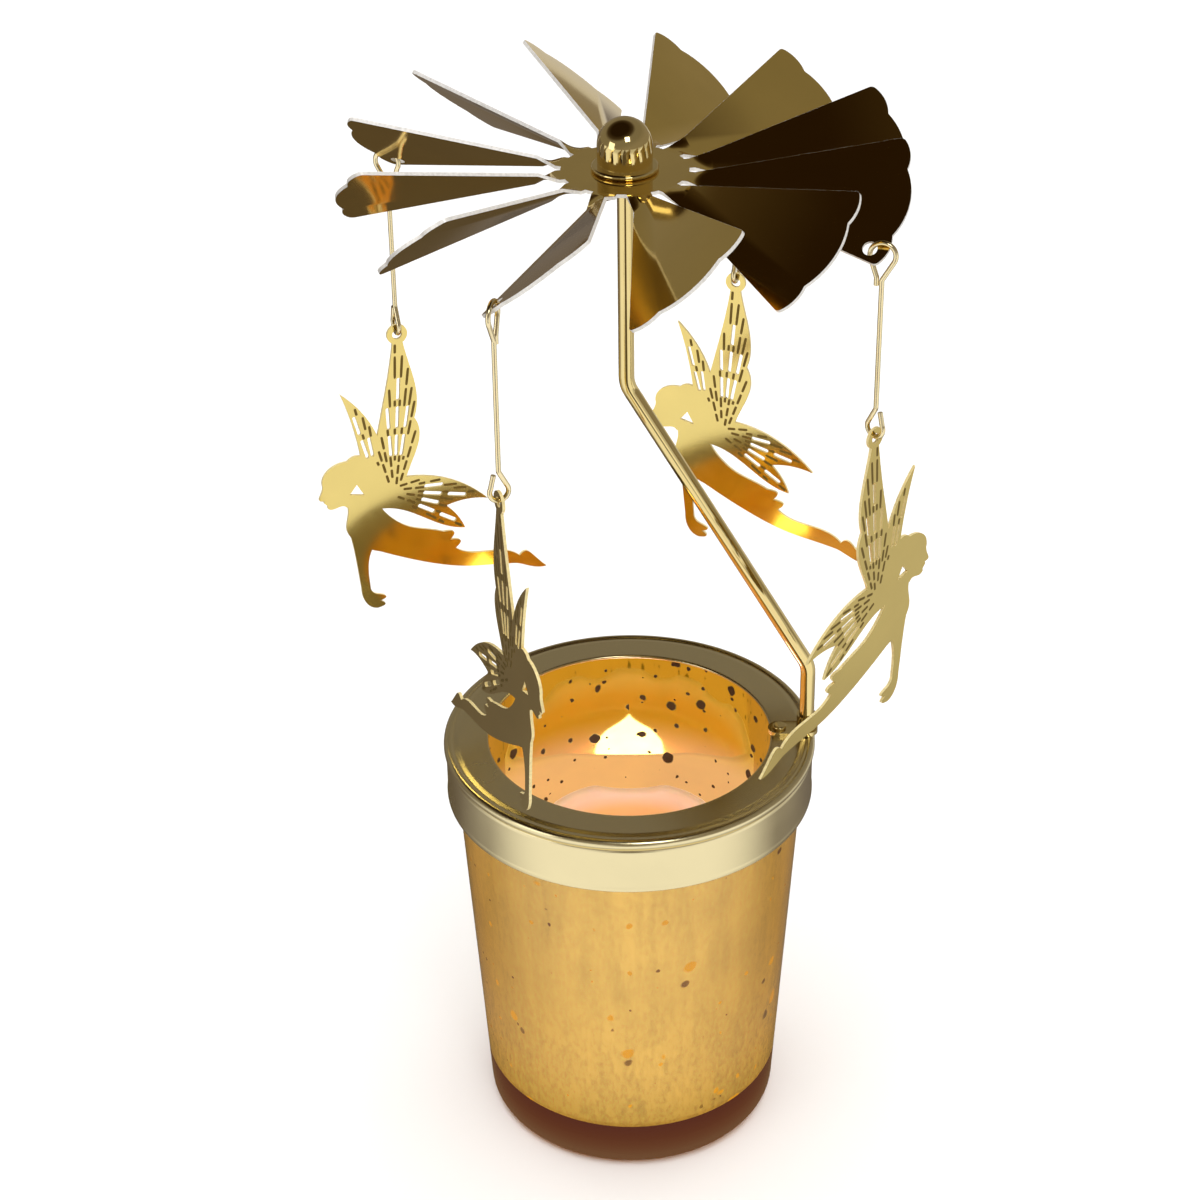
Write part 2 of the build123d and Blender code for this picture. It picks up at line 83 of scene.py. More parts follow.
def whole(label, description, default, least):
    """A whole number with a lower limit."""
    return IntProperty(name=label, description=description, default=default, min=least)


def tint(label, description, default):
    """A linear colour."""
    return FloatVectorProperty(name=label, description=description, default=default, subtype="COLOR", size=3)


class CupSizes(bpy.types.PropertyGroup):
    """Sizes of the glass cup's mirrored lining."""

    wall: length("Wall", "Thickness of the glass wall", 3.2)
    floor: length("Floor", "Height of the floor inside the cup", 8.5)
    floor_round: length("Floor round", "Rounding where the wall meets the floor", 1.6)
    base_radius: length("Base radius", "Outer radius of the cup at its base", 27.4)
    rim_radius: length("Rim radius", "Outer radius of the cup at its rim", 32.4)
    rim_drop: length("Rim drop", "How far below the rim the lining stops", 1.0)
    coating: length("Coating", "Half of the lining's thickness", 0.05)
    rows: whole("Rows", "Facets up the lining's wall", 16, 2)
    steps: whole("Steps", "Facets round the cup", 192, 24)


class CollarSizes(bpy.types.PropertyGroup):
    """Sizes of the pressed collar's section."""

    sheet: length("Sheet", "Thickness of the collar's sheet", 0.7)
    opening: length("Opening", "Radius of the opening", 25.8)
    bead: length("Bead", "Radius of the bead round the edge", 1.0)
    bulge: length("Bulge", "How far the bead stands out from the band", 0.4)
    groove: length("Groove", "Depth of the groove inside the bead", 0.22)
    slope: length("Slope", "Width of the groove's inner side", 0.6)
    flat: length("Flat", "Margin kept flat beside a bend", 0.3)
    lip: length("Lip", "Rounding of the band's lower lip", 0.3)
    steps: whole("Steps", "Facets round the collar", 192, 24)


class WheelSizes(bpy.types.PropertyGroup):
    """Sizes of the stamped wheel's finish."""

    edge_round: length("Edge round", "Rounding of the stamped edges", 0.07)
    crease: slant("Crease", "Angle past which an edge counts as cut", 42)


class HangerSizes(bpy.types.PropertyGroup):
    """Sizes of the bent hanger wires."""

    wire: length("Wire", "Radius of the wire", 0.425)
    loop: length("Loop", "Radius of the loop in the blade", 2.1)
    hook: length("Hook", "Radius of the hook at the eye", 1.6)
    loop_neck: length("Loop neck", "From the loop's centre to where its sides meet", 4.3)
    hook_neck: length("Hook neck", "From the hook's centre to where its sides meet", 3.5)
    end_side: length("End side", "How far the wire's cut end lies beside the shank", 0.87)
    end_run: length("End run", "How far the wire's cut end runs along the shank", 0.9)
    bend: length("Bend", "Radius of the bend where a loop meets the shank", 0.8)
    sides: whole("Sides", "Facets round the wire", 14, 6)


class FairySizes(bpy.types.PropertyGroup):
    """Sizes of the etched figures' finish."""

    height: length("Height", "Height of the figure below its eye", 54.8)
    eye_drop: length("Eye drop", "From the hook's centre to the eye's centre", 1.875)
    sheet: length("Sheet", "Thickness of the figure's plate", 0.5)
    edge_round: length("Edge round", "Rounding of the etched edges", 0.06)
    etch: length("Etch", "Height of an etched mark's skin over the plate", 0.012)
    breadth: length("Breadth", "Width of an etched mark", 0.50)
    margin: length("Margin", "Plain metal kept between a mark and any edge", 0.22)


class CandleSizes(bpy.types.PropertyGroup):
    """Sizes of the candle's wavy wax body."""

    wall: length("Wall", "Thickness of the wax wall", 2.0)
    chamfer: length("Chamfer", "Bevel round the foot", 0.4)
    dish: length("Dish", "Height of the dish round the flame", 37.0)
    dish_round: length("Dish round", "Rounding where the dish meets the wall", 1.5)
    dish_wall: length("Dish wall", "Upright part of the wall over the dish", 2.5)
    dish_sag: length("Dish sag", "How far the dish dips halfway to the flame", 0.1)
    skin: length("Skin", "Thickness of the dish", 2.0)
    flame_hole: length("Flame hole", "Radius of the hole that the flame stands in", 4.6)
    waves: whole("Waves", "Dips round the rim", 5, 1)
    wave_radius: length("Wave radius", "Radius of each dip", 14.0)
    wave_depth: length("Wave depth", "Depth of each dip", 1.8)
    shoulder: length("Shoulder", "Softness of the shoulders between dips", 0.5)
    crown: length("Crown", "How far the shoulders stay below the full height", 0.3)
    steps: whole("Steps", "Facets round the candle", 180, 24)


class FinishColours(bpy.types.PropertyGroup):
    """Colours of the finishes, as linear values."""

    gold: tint("Gold", "Polished gold plating", (0.78, 0.63, 0.29))
    sheet_gold: tint("Sheet gold", "Gold of the stamped wheel", (0.80, 0.60, 0.19))
    collar_gold: tint("Collar gold", "Champagne gold of the collar", (0.80, 0.70, 0.42))
    wire_gold: tint("Wire gold", "Pale gold of the wires", (0.84, 0.73, 0.46))
    fairy_gold: tint("Fairy gold", "Yellow gold of the figures", (0.77, 0.61, 0.215))
    etched: tint("Etched", "Brown of the etched marks", (0.23, 0.16, 0.042))
    cut_edge: tint("Cut edge", "Bare metal of the stamped edges", (0.90, 0.88, 0.85))
    # Bare gold of the figures' cut edges, made brighter than the plate as a painted highlight along the
    # outline
    fairy_edge_and_highlight: tint("Fairy edge", "Bright gold of the figures' edges", (1.0, 0.84, 0.42))
    lining_in: tint("Lining inside", "Gold mirror seen inside the cup", (0.54, 0.43, 0.09))
    lining_out: tint("Lining outside", "Pale gold seen through the glass", (1.0, 0.94, 0.28))
    lining_glow: tint("Lining glow", "Candlelight that comes through the lining", (1.0, 0.70, 0.08))
    # Painted glow of candlelight on the inside of the lining, low and high
    painted_glow_low: tint("Haze low", "Candlelight on the lining beside the candle", (1.0, 0.55, 0.34))
    painted_glow_high: tint("Haze high", "Candlelight on the lining over the candle", (0.42, 0.22, 0.002))
    spot: tint("Spot", "Brown of the lining's spots", (0.060, 0.026, 0.003))
    speck: tint("Speck", "Glow through the lining's specks", (1.0, 0.52, 0.012))
    clear: tint("Clear", "Tint of the glass's surface", (1.0, 0.985, 0.97))
    glass: tint("Glass", "Tint that the thick glass takes on", (0.72, 0.25, 0.14))
    wax: tint("Wax", "Ivory of the candle", (0.62, 0.46, 0.34))
    wax_glow: tint("Wax glow", "Light that comes through the wax wall", (1.0, 0.74, 0.52))
    rim_glow: tint("Rim glow", "Light on the wax rim", (1.0, 0.52, 0.17))
    # Also the colour of the painted glow in the dish
    dish: tint("Dish", "Amber of the dish round the flame", (0.70, 0.40, 0.14))
    flame: tint("Flame", "Light of the flame", (1.0, 0.98, 1.25))
    plastic: tint("Plastic", "Ivory of the candle's base", (0.72, 0.66, 0.53))
    switch: tint("Switch", "Black of the power switch", (0.012, 0.012, 0.013))
    board: tint("Board", "Green of the circuit board", (0.012, 0.085, 0.026))
    steel: tint("Steel", "Grey of the needle, seat and cell", (0.62, 0.62, 0.63))
    brass: tint("Brass", "Yellow of the turned bush", (0.70, 0.50, 0.18))


class StageSizes(bpy.types.PropertyGroup):
    """Where the camera stands and how the set is lit."""

    camera_place: FloatVectorProperty(
        name="Camera",
        description="Place of the camera",
        default=(0.000234, -0.4131, 0.3625),
        subtype="TRANSLATION",
    )
    pitch: slant("Pitch", "Tilt below level", 31.474)
    yaw: slant("Yaw", "Turn to the right", -0.727)
    roll: slant("Roll", "Lean of the camera", -0.799)
    lens: plain("Lens", "Focal length for a 36 mm sensor, in millimetres", 81.7)
    floor_radius: length("Floor radius", "Radius of the floor", 6000.0)
    fill_power: plain("Fill", "Power of the soft light overhead", 135.0)
    key_power: plain("Key", "Power of the soft light in front", 3.2)
    window_power: plain("Window", "Power of the soft light on the left", 1.92)
    room_lean: slant("Room lean", "Lean of the room's dark top towards the left", 16)
    pale: tint("Pale", "White of the set", (0.97, 0.97, 0.97))
    floor: tint("Floor", "White of the floor round the cup", (0.88, 0.88, 0.88))
    table_lit: tint("Table lit", "Table in front, as reflections show it", (1.12, 1.10, 1.07))
    table_dim: tint("Table dim", "Table behind, as reflections show it", (0.168, 0.140, 0.118))
    # Painted shadow of the cup on the table under it, in warm brown
    table_shadow_under_cup: tint("Table warm", "Table under the cup, as reflections show it", (0.185, 0.115, 0.055))
    table_dark: tint("Table dark", "Dark strip of the table far in front", (0.12, 0.09, 0.05))
    table_shade: tint("Table shade", "Shaded table just behind", (0.108, 0.080, 0.046))


class CarouselSettings(bpy.types.PropertyGroup):
    """Everything that a user may change."""

    cup: PointerProperty(type=CupSizes)
    collar: PointerProperty(type=CollarSizes)
    wheel: PointerProperty(type=WheelSizes)
    hanger: PointerProperty(type=HangerSizes)
    fairy: PointerProperty(type=FairySizes)
    candle: PointerProperty(type=CandleSizes)
    colours: PointerProperty(type=FinishColours)
    stage: PointerProperty(type=StageSizes)


def settings():
    return bpy.context.scene.carousel


# Finishes

# Span that a cloudy noise mostly keeps to
NOISE_LOW, NOISE_HIGH = 0.3, 0.7

# Two layers of round spots for each kind: cells to the metre, least and largest radius in cells,
# where less than nought is no spot, and a power that makes large ones rarer
INSIDE_SPOTS = ((165.0, -0.08, 0.22, 1.3), (320.0, -0.20, 0.16, 1.0))
OUTSIDE_STAINS = ((96.0, -0.09, 0.11, 1.0), (210.0, -0.40, 0.12, 2.0))
OUTSIDE_SPECKS = ((88.0, -0.06, 0.14, 1.0), (170.0, -0.32, 0.13, 1.0))

# Heights on the lining, in metres, between which the painted candle glow inside changes colour and the grain
# and glow outside fade
PAINTED_GLOW_HEIGHTS = (0.057, 0.066)
GRAIN_HEIGHTS = (0.008, 0.040)
GLOW_HEIGHTS = (0.008, 0.045)

FINISHES = {}


def new_finish(name):
    """A new material and its Principled shader."""
    material = bpy.data.materials.new(name)
    material.use_nodes = True
    return material, material.node_tree.nodes["Principled BSDF"]


def fill(node, inputs):
    """Fills a node's inputs, each from another node's socket or with a plain value."""
    for name, value in inputs.items():
        socket = node.inputs[name]
        if isinstance(value, bpy.types.NodeSocket):
            node.id_data.links.new(value, socket)
        elif socket.type == "RGBA":
            socket.default_value = (*value, 1.0)
        else:
            socket.default_value = value


def add_node(owner, kind, inputs=None, **options):
    """A new node in the tree that the owner is or belongs to, with its options and inputs set."""
    made = owner.id_data.nodes.new(kind)
    for option, value in options.items():
        setattr(made, option, value)
    fill(made, inputs or {})
    return made


def object_points(owner, stretch=(1, 1, 1), start=(0, 0, 0)):
    """Object coordinates in metres, stretched along each axis and then moved."""
    source = add_node(owner, "ShaderNodeTexCoord").outputs["Object"]
    inputs = {"Vector": source, "Location": start, "Scale": stretch}
    return add_node(owner, "ShaderNodeMapping", inputs).outputs["Vector"]


def axes(points):
    """The X, Y and Z of a point."""
    return add_node(points, "ShaderNodeSeparateXYZ", {"Vector": points}).outputs


def noise(points, scale, detail=3.0, roughness=0.55):
    """Cloudy noise with a feature size of about one over the scale, in metres."""
    inputs = {"Vector": points, "Scale": scale, "Detail": detail, "Roughness": roughness}
    return add_node(points, "ShaderNodeTexNoise", inputs).outputs["Fac"]


def span(source, low, high, to_low=0.0, to_high=1.0, smooth=False):
    """Maps a value from one span to another and keeps it there."""
    inputs = {"Value": source, "From Min": low, "From Max": high, "To Min": to_low, "To Max": to_high}
    kind = "SMOOTHSTEP" if smooth else "LINEAR"
    return add_node(source, "ShaderNodeMapRange", inputs, interpolation_type=kind).outputs["Result"]


def spread(clouds, to_low=0.0, to_high=1.0):
    """Opens a cloudy noise to a span of its own."""
    return span(clouds, NOISE_LOW, NOISE_HIGH, to_low, to_high)


def reversed_share(share):
    """One where a share is nought, and nought where it is one."""
    return span(share, 0.0, 1.0, 1.0, 0.0)


def blend_colours(fraction, first, second):
    """Mixes two colours, each given as a value or as a socket."""
    mix = add_node(fraction, "ShaderNodeMix", {"Factor": fraction}, data_type="RGBA")
    places = [index for index, socket in enumerate(mix.inputs) if socket.type == "RGBA"]
    fill(mix, dict(zip(places, (first, second))))
    return [socket for socket in mix.outputs if socket.type == "RGBA"][0]


def scaled(colour, factor):
    return tuple(channel * factor for channel in colour)


def clouded(clouds, colour, dark, light):
    """A colour that a cloudy noise shades between two of its multiples."""
    return blend_colours(spread(clouds), scaled(colour, dark), scaled(colour, light))


def combine(operation, first, second=0.0):
    """Arithmetic on a socket's value and a second one, which is a number or a socket."""
    return add_node(first, "ShaderNodeMath", {0: first, 1: second}, operation=operation).outputs["Value"]


def combine_points(operation, result, inputs):
    """Arithmetic on points, the first one a socket, with the result that is asked for."""
    return add_node(inputs[0], "ShaderNodeVectorMath", inputs, operation=operation).outputs[result]


def bump(height, distance, strength=1.0, under=None):
    """Surface normal shaken by a height, in metres, over another normal where one is given."""
    inputs = {"Height": height, "Distance": distance, "Strength": strength}
    if under is not None:
        inputs["Normal"] = under
    return add_node(height, "ShaderNodeBump", inputs).outputs["Normal"]


def metal_finish(name, colour, roughness, grain=1500.0, wave=0.04, stretch=(1, 1, 1), grit=1.0):
    """Plated metal: faint clouds in colour and gloss, a fine grain, and a slow wave in millimetres."""
    cloud_scale, wave_scale = 70.0, 40.0
    grain_depth = 0.002 * MM
    material, shader = new_finish(name)
    points = object_points(shader, stretch)
    clouds = noise(points, cloud_scale)
    fine = noise(points, grain, 2.0)
    gloss = spread(clouds, 0.75 * roughness, 1.15 * roughness)
    gloss = combine("ADD", gloss, spread(fine, 0.0, 0.25 * grit * roughness))
    waved = bump(noise(points, wave_scale, 1.0), wave * MM)
    fill(shader, {
        "Metallic": 1.0,
        "Base Color": clouded(clouds, colour, 0.95, 1.03),
        "Roughness": gloss,
        "Normal": bump(fine, grain_depth * grit, 0.6, waved),
    })
    return material


def edge_finish(name, colour):
    """Bare stamped edge, torn to a matt bright skin."""
    tear_scale, tear_depth = 2200.0, 0.01 * MM
    material, shader = new_finish(name)
    torn = noise(object_points(shader), tear_scale)
    fill(shader, {
        "Metallic": 0.35,
        "Base Color": clouded(torn, colour, 0.82, 1.04),
        "Roughness": spread(torn, 0.32, 0.5),
        "Normal": bump(torn, tear_depth, 0.6),
    })
    return material


def plastic_finish(name, colour, roughness):
    """Moulded plastic: slight clouds and a fine stipple."""
    cloud_scale = 120.0
    stipple_scale, stipple_depth = 2600.0, 0.01 * MM
    material, shader = new_finish(name)
    points = object_points(shader)
    stipple = noise(points, stipple_scale, 2.0)
    fill(shader, {
        "Base Color": clouded(noise(points, cloud_scale), colour, 0.92, 1.05),
        "Roughness": spread(stipple, 0.85 * roughness, 1.2 * roughness),
        "Normal": bump(stipple, stipple_depth, 0.5),
    })
    return material


def cup_points(owner):
    """Places on the cup's wall, as the way round it and the height in metres, with the seam at the back."""
    place = axes(object_points(owner))
    turn = combine("ARCTAN2", place["X"], combine("MULTIPLY", place["Y"], -1.0))
    along = combine("MULTIPLY", turn, settings().cup.base_radius)
    return add_node(owner, "ShaderNodeCombineXYZ", {"X": along, "Y": place["Z"]}).outputs["Vector"]


def spots(points, layers):
    """Two layers of round spots laid over each other: one inside a spot and nought outside."""
    return combine("MAXIMUM", *(spot_layer(points, *layer) for layer in layers))


def spot_layer(points, scale, least, most, rarity):
    """Spots of uneven size with slightly ragged edges, one to a cell of a flat layout."""
    ragged, ragged_scale, soft_edge = 0.25, 2.2, 0.035
    inputs = {"Vector": points, "Scale": scale * ragged_scale, "Detail": 2.0}
    shift = add_node(points, "ShaderNodeTexNoise", inputs).outputs["Color"]
    nudge = combine_points("SUBTRACT", "Vector", {0: shift, 1: (0.5, 0.5, 0.5)})
    nudge = combine_points("SCALE", "Vector", {0: nudge, "Scale": ragged / scale})
    place = combine_points("ADD", "Vector", {0: points, 1: nudge})
    inputs = {"Vector": place, "Scale": scale}
    cells = add_node(points, "ShaderNodeTexVoronoi", inputs, voronoi_dimensions="2D").outputs
    chance = add_node(points, "ShaderNodeSeparateColor", {"Color": cells["Color"]}).outputs["Red"]
    reach = span(combine("POWER", chance, rarity), 0.0, 1.0, least, most)
    return span(combine("SUBTRACT", reach, cells["Distance"]), 0.0, soft_edge)


def lining_inside_finish(name):
    """Orange-gold mirror with a painted glow of candlelight, peach beside the candle and amber over it, and
    brown spots where the silvering is missing.
    """
    cloud_scale = 60.0
    ripple_scale, ripple_depth = 90.0, 0.02 * MM
    spot_roughness, painted_glow_strength = 0.6, 0.34
    colours = settings().colours
    material, shader = new_finish(name)
    points = object_points(shader)
    brown = spots(cup_points(shader), INSIDE_SPOTS)
    clouds = noise(points, cloud_scale)
    gold = clouded(clouds, colours.lining_in, 0.90, 1.05)
    gloss = spread(clouds, 0.025, 0.06)
    over_candle = span(axes(points)["Z"], *PAINTED_GLOW_HEIGHTS, smooth=True)
    fill(shader, {
        "Base Color": blend_colours(brown, gold, colours.spot),
        "Metallic": reversed_share(brown),
        "Roughness": combine("ADD", gloss, combine("MULTIPLY", brown, spot_roughness)),
        # Painted glow of candlelight, left out in the brown spots
        "Emission Color": blend_colours(over_candle, colours.painted_glow_low, colours.painted_glow_high),
        "Emission Strength": span(brown, 0.0, 1.0, painted_glow_strength, 0.0),
        "Normal": bump(noise(points, ripple_scale, 2.0), ripple_depth),
    })
    return material


def lining_outside_finish(name):
    """Satin tan gold behind the glass, streaked upright, with glowing specks and brown stains."""
    streak_scale, streak_stretch, streak_depth = 240.0, (1, 1, 0.07), 0.02 * MM
    mottle_scale, mottle_stretch = 1300.0, (1, 1, 0.45)
    wash_scale = 60.0
    stain_light, stain_loss = 4.0, 0.16
    speck_dark, speck_gain = 0.12, 0.50
    colours = settings().colours
    material, shader = new_finish(name)
    points = object_points(shader)
    height = axes(points)["Z"]
    wall = cup_points(shader)
    lit = spots(wall, OUTSIDE_SPECKS)
    brown = combine("MULTIPLY", spots(wall, OUTSIDE_STAINS), reversed_share(lit))
    streaks = noise(object_points(shader, streak_stretch), streak_scale, 6.0, 0.62)
    mottle = noise(object_points(shader, mottle_stretch), mottle_scale, 3.0, 0.65)
    wash = noise(points, wash_scale)
    grain = span(mottle, 0.25, 0.75, -0.5, 0.5)
    grain = combine("MULTIPLY", grain, span(height, *GRAIN_HEIGHTS, 1.15, 0.30))
    shade = combine("ADD", span(streaks, 0.25, 0.75, 0.0, 0.5), grain)
    shade = combine("ADD", shade, spread(wash, 0.125, 0.375))
    tone = blend_colours(shade, scaled(colours.lining_out, 0.74), scaled(colours.lining_out, 1.02))
    tone = blend_colours(brown, tone, scaled(colours.spot, stain_light))
    glow = span(shade, 0.2, 0.8, 0.19, 0.35)
    glow = combine("ADD", glow, span(height, *GLOW_HEIGHTS, 0.11, 0.0))
    glow = combine("SUBTRACT", glow, combine("MULTIPLY", brown, stain_loss))
    glow = combine("ADD", glow, combine("MULTIPLY", lit, speck_gain))
    fill(shader, {
        "Base Color": blend_colours(lit, tone, scaled(colours.speck, speck_dark)),
        "Metallic": 1.0,
        "Roughness": span(shade, 0.2, 0.8, 0.50, 0.36),
        "Emission Color": blend_colours(lit, colours.lining_glow, colours.speck),
        "Emission Strength": glow,
        "Normal": bump(streaks, streak_depth),
    })
    return material


def glass_finish(name):
    """Thick clear glass that takes on a brown tint with depth."""
    gloss_scale = 90.0
    wave_scale, wave_depth = 45.0, 0.12 * MM
    colours = settings().colours
    material, shader = new_finish(name)
    points = object_points(shader)
    fill(shader, {
        "Base Color": colours.clear,
        "Transmission Weight": 1.0,
        "IOR": 1.5,
        "Roughness": spread(noise(points, gloss_scale), 0.0, 0.03),
        "Normal": bump(noise(points, wave_scale, 1.0), wave_depth),
    })
    absorb = add_node(shader, "ShaderNodeVolumeAbsorption", {"Color": colours.glass, "Density": 110.0})
    fill(shader.id_data.nodes["Material Output"], {"Volume": absorb.outputs["Volume"]})
    return material


def wax_finish(name):
    """Ivory wax that glows from within, warmer on its rim and in its dish than on its outer wall."""
    cloud_scale = 110.0
    pit_scale, pit_depth = 700.0, 0.03 * MM
    foot_glow, top_glow, rim_glow, dish_glow = 0.42, 0.62, 0.22, 0.12
    colours = settings().colours
    low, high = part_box("candle_shell")
    middle = (low + high) / 2
    radius = (high.x - low.x) / 2
    material, shader = new_finish(name)
    points = object_points(shader)
    height = axes(points)["Z"]
    clouds = noise(points, cloud_scale)
    level = object_points(shader, (1, 1, 0), (-middle.x, -middle.y, 0.0))
    out = combine_points("LENGTH", "Value", {0: level})
    outside = span(out, radius - 1.0 * MM, radius - 0.1 * MM, smooth=True)
    inside = span(out, radius - 1.8 * MM, radius - 1.2 * MM, 1.0, 0.0)
    below_rim = span(height, high.z - 6 * MM, high.z - 2.5 * MM, 1.0, 0.0)
    deep = combine("MULTIPLY", inside, below_rim)
    tone = clouded(clouds, colours.wax, 0.93, 1.04)
    # Colour of the painted glow: the rim's light on the rim, the dish's amber inside it
    rim = blend_colours(deep, colours.rim_glow, colours.dish)
    rise = span(height, low.z, high.z - 8 * MM, foot_glow, top_glow, smooth=True)
    inner = span(deep, 0.0, 1.0, rim_glow, dish_glow)
    walls = combine("MULTIPLY", outside, combine("SUBTRACT", rise, inner))
    glow = combine("ADD", walls, inner)
    fill(shader, {
        "Base Color": blend_colours(deep, tone, colours.dish),
        "Roughness": 0.42,
        "Subsurface Weight": 0.35,
        "Subsurface Radius": (1.0, 0.45, 0.2),
        "Subsurface Scale": 4 * MM,
        "Emission Color": blend_colours(outside, rim, colours.wax_glow),
        "Emission Strength": combine("MULTIPLY", glow, spread(clouds, 0.92, 1.08)),
        "Normal": bump(noise(points, pit_scale, 2.0), pit_depth),
    })
    return material


def light_finish(name, colour, strength):
    """Frosted lens lit from within."""
    frost_scale = 600.0
    material, shader = new_finish(name)
    frost = noise(object_points(shader), frost_scale, 2.0)
    fill(shader, {
        "Base Color": colour,
        "Emission Color": colour,
        "Roughness": 0.35,
        "Emission Strength": spread(frost, 0.92 * strength, 1.06 * strength),
    })
    return material


def finishes():
    """Every finish by name, made once."""
    if FINISHES:
        return FINISHES
    colours = settings().colours
    made = (
        metal_finish("polished gold", colours.gold, 0.07),
        metal_finish("collar gold", colours.collar_gold, 0.24, wave=0.02, grit=0.1),
        metal_finish("sheet gold", colours.sheet_gold, 0.08),
        metal_finish("wire gold", colours.wire_gold, 0.16),
        metal_finish("figure gold", colours.fairy_gold, 0.10, grain=2600.0, wave=0.03, grit=0.4),
        metal_finish("etched brown", colours.etched, 0.5),
        metal_finish("needle steel", colours.steel, 0.12),
        metal_finish("turned brass", colours.brass, 0.22, stretch=(1, 1, 12)),
        metal_finish("cell metal", colours.steel, 0.28),
        edge_finish("cut edge", colours.cut_edge),
        # The figures' edges: bare gold, brightened as a painted highlight
        edge_finish("figure edge and highlight", colours.fairy_edge_and_highlight),
        plastic_finish("works plastic", colours.plastic, 0.5),
        plastic_finish("switch plastic", colours.switch, 0.45),
        plastic_finish("board lacquer", colours.board, 0.3),
        glass_finish("tinted glass"),
        lining_inside_finish("mirror lining inside"),
        lining_outside_finish("mirror lining outside"),
        wax_finish("glowing wax"),
        light_finish("flame light", colours.flame, 7.0),
        light_finish("lamp lens", colours.flame, 3.0),
    )
    FINISHES.update({material.name: material for material in made})
    return FINISHES


# Making of meshes

# Angle past which a turned surface has an edge, and past which a sheet's edge is rounded
TURNED_CREASE = radians(38)
ROUNDED_ANGLE = radians(60)

# Points this near each other are one, and points this near the axis lie on it
MERGE_REACH = 0.002 * MM
AXIS_REACH = 0.0001 * MM


def linked_object(name, data):
    """A new object in the scene's own collection."""
    made = bpy.data.objects.new(name, data)
    bpy.context.scene.collection.objects.link(made)
    return made


def finish_node(node, finish):
    """Gives a construction node its finish."""
    materials = NODES[node].data.materials
    materials.clear()
    materials.append(finishes()[finish])


def new_piece(name, mesh, body, slot, *node_names):
    """Places a finished mesh in the scene, riding on a body and standing for the nodes named."""
    piece = linked_object(name, mesh)
    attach(piece, body)
    if node_names:
        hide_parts(*node_names)


def turned_mesh(name, section, steps):
    """Turns a closed section of (radius, height) points round the upright axis."""
    mesh = bmesh.new()
    turns = [2 * pi * step / steps for step in range(steps)]
    rings = []
    for radius, height in section:
        if radius < AXIS_REACH:
            rings.append([mesh.verts.new((0.0, 0.0, height))])
        else:
            rings.append([mesh.verts.new((radius * cos(a), radius * sin(a), height)) for a in turns])
    return joined_mesh(name, mesh, rings)


def joined_mesh(name, mesh, rings):
    """Closes rings of points into a mesh, each joined to the next and the last to the first."""
    for index, ring in enumerate(rings):
        join_rings(mesh, ring, rings[(index + 1) % len(rings)])
    bmesh.ops.recalc_face_normals(mesh, faces=mesh.faces)
    return plain_mesh(name, mesh, TURNED_CREASE)


def join_rings(mesh, ring, following):
    """Faces between two rings of points, either of which may be a single point."""
    if len(ring) == 1 and len(following) == 1:
        return
    steps = max(len(ring), len(following))
    for step in range(steps):
        after = (step + 1) % steps
        corners = [ring[step % len(ring)], ring[after % len(ring)]]
        corners += [following[after % len(following)], following[step % len(following)]]
        mesh.faces.new(list(dict.fromkeys(corners)))


def plain_mesh(name, mesh, crease):
    """Turns a bmesh into a mesh that is smooth except across its creases."""
    for face in mesh.faces:
        face.smooth = True
    for edge in mesh.edges:
        edge.smooth = not (edge.is_manifold and edge.calc_face_angle(0.0) > crease)
    made = bpy.data.meshes.new(name)
    mesh.to_mesh(made)
    mesh.free()
    return made


def arc(centre, radius, start, end, steps):
    """Points of an arc in a section, angles in degrees from the radius direction."""
    angles = [radians(start + (end - start) * step / steps) for step in range(steps + 1)]
    return [(centre[0] + radius * cos(a), centre[1] + radius * sin(a)) for a in angles]


def evaluated_mesh(name, piece):
    """The piece's mesh with its modifiers worked in, as a plain mesh; the piece itself goes."""
    bpy.context.view_layer.update()
    done = piece.evaluated_get(bpy.context.evaluated_depsgraph_get())
    made = bpy.data.meshes.new_from_object(done)
    made.name = name
    old = piece.data
    bpy.data.objects.remove(piece)
    if old.users == 0:
        (bpy.data.meshes if isinstance(old, bpy.types.Mesh) else bpy.data.curves).remove(old)
    return made


def stamped_mesh(name, node, face_finish, cut_finish, edge_round, crease):
    """A copy of a sheet node with its cut edges told from its two faces and rounded."""
    mesh = bmesh.new()
    mesh.from_mesh(NODES[node].data)
    bmesh.ops.remove_doubles(mesh, verts=mesh.verts, dist=MERGE_REACH)
    mesh.faces.ensure_lookup_table()
    regions = smooth_regions(mesh, crease)
    regions.sort(key=lambda faces: -sum(face.calc_area() for face in faces))
    # The two largest regions are the sheet's faces, and the rest are its cut edges
    for faces in regions[2:]:
        for face in faces:
            face.material_index = 1
    made = plain_mesh(name, mesh, crease)
    made.materials.append(finishes()[face_finish])
    made.materials.append(finishes()[cut_finish])
    piece = linked_object(name, made)
    rounded = piece.modifiers.new("edge round", "BEVEL")
    rounded.width = edge_round
    rounded.segments = 2
    rounded.limit_method = "ANGLE"
    rounded.angle_limit = ROUNDED_ANGLE
    rounded.use_clamp_overlap = True
    rounded.material = 1
    rounded.harden_normals = True
    return evaluated_mesh(name, piece)


def smooth_regions(mesh, crease):
    """Sets of faces that meet without a crease."""
    unseen = set(mesh.faces)
    regions = []
    while unseen:
        region = [unseen.pop()]
        for face in region:
            for edge in face.edges:
                if edge.calc_face_angle(0.0) > crease:
                    continue
                for other in edge.link_faces:
                    if other in unseen:
                        unseen.discard(other)
                        region.append(other)
        regions.append(region)
    return regions


# Geometry Nodes


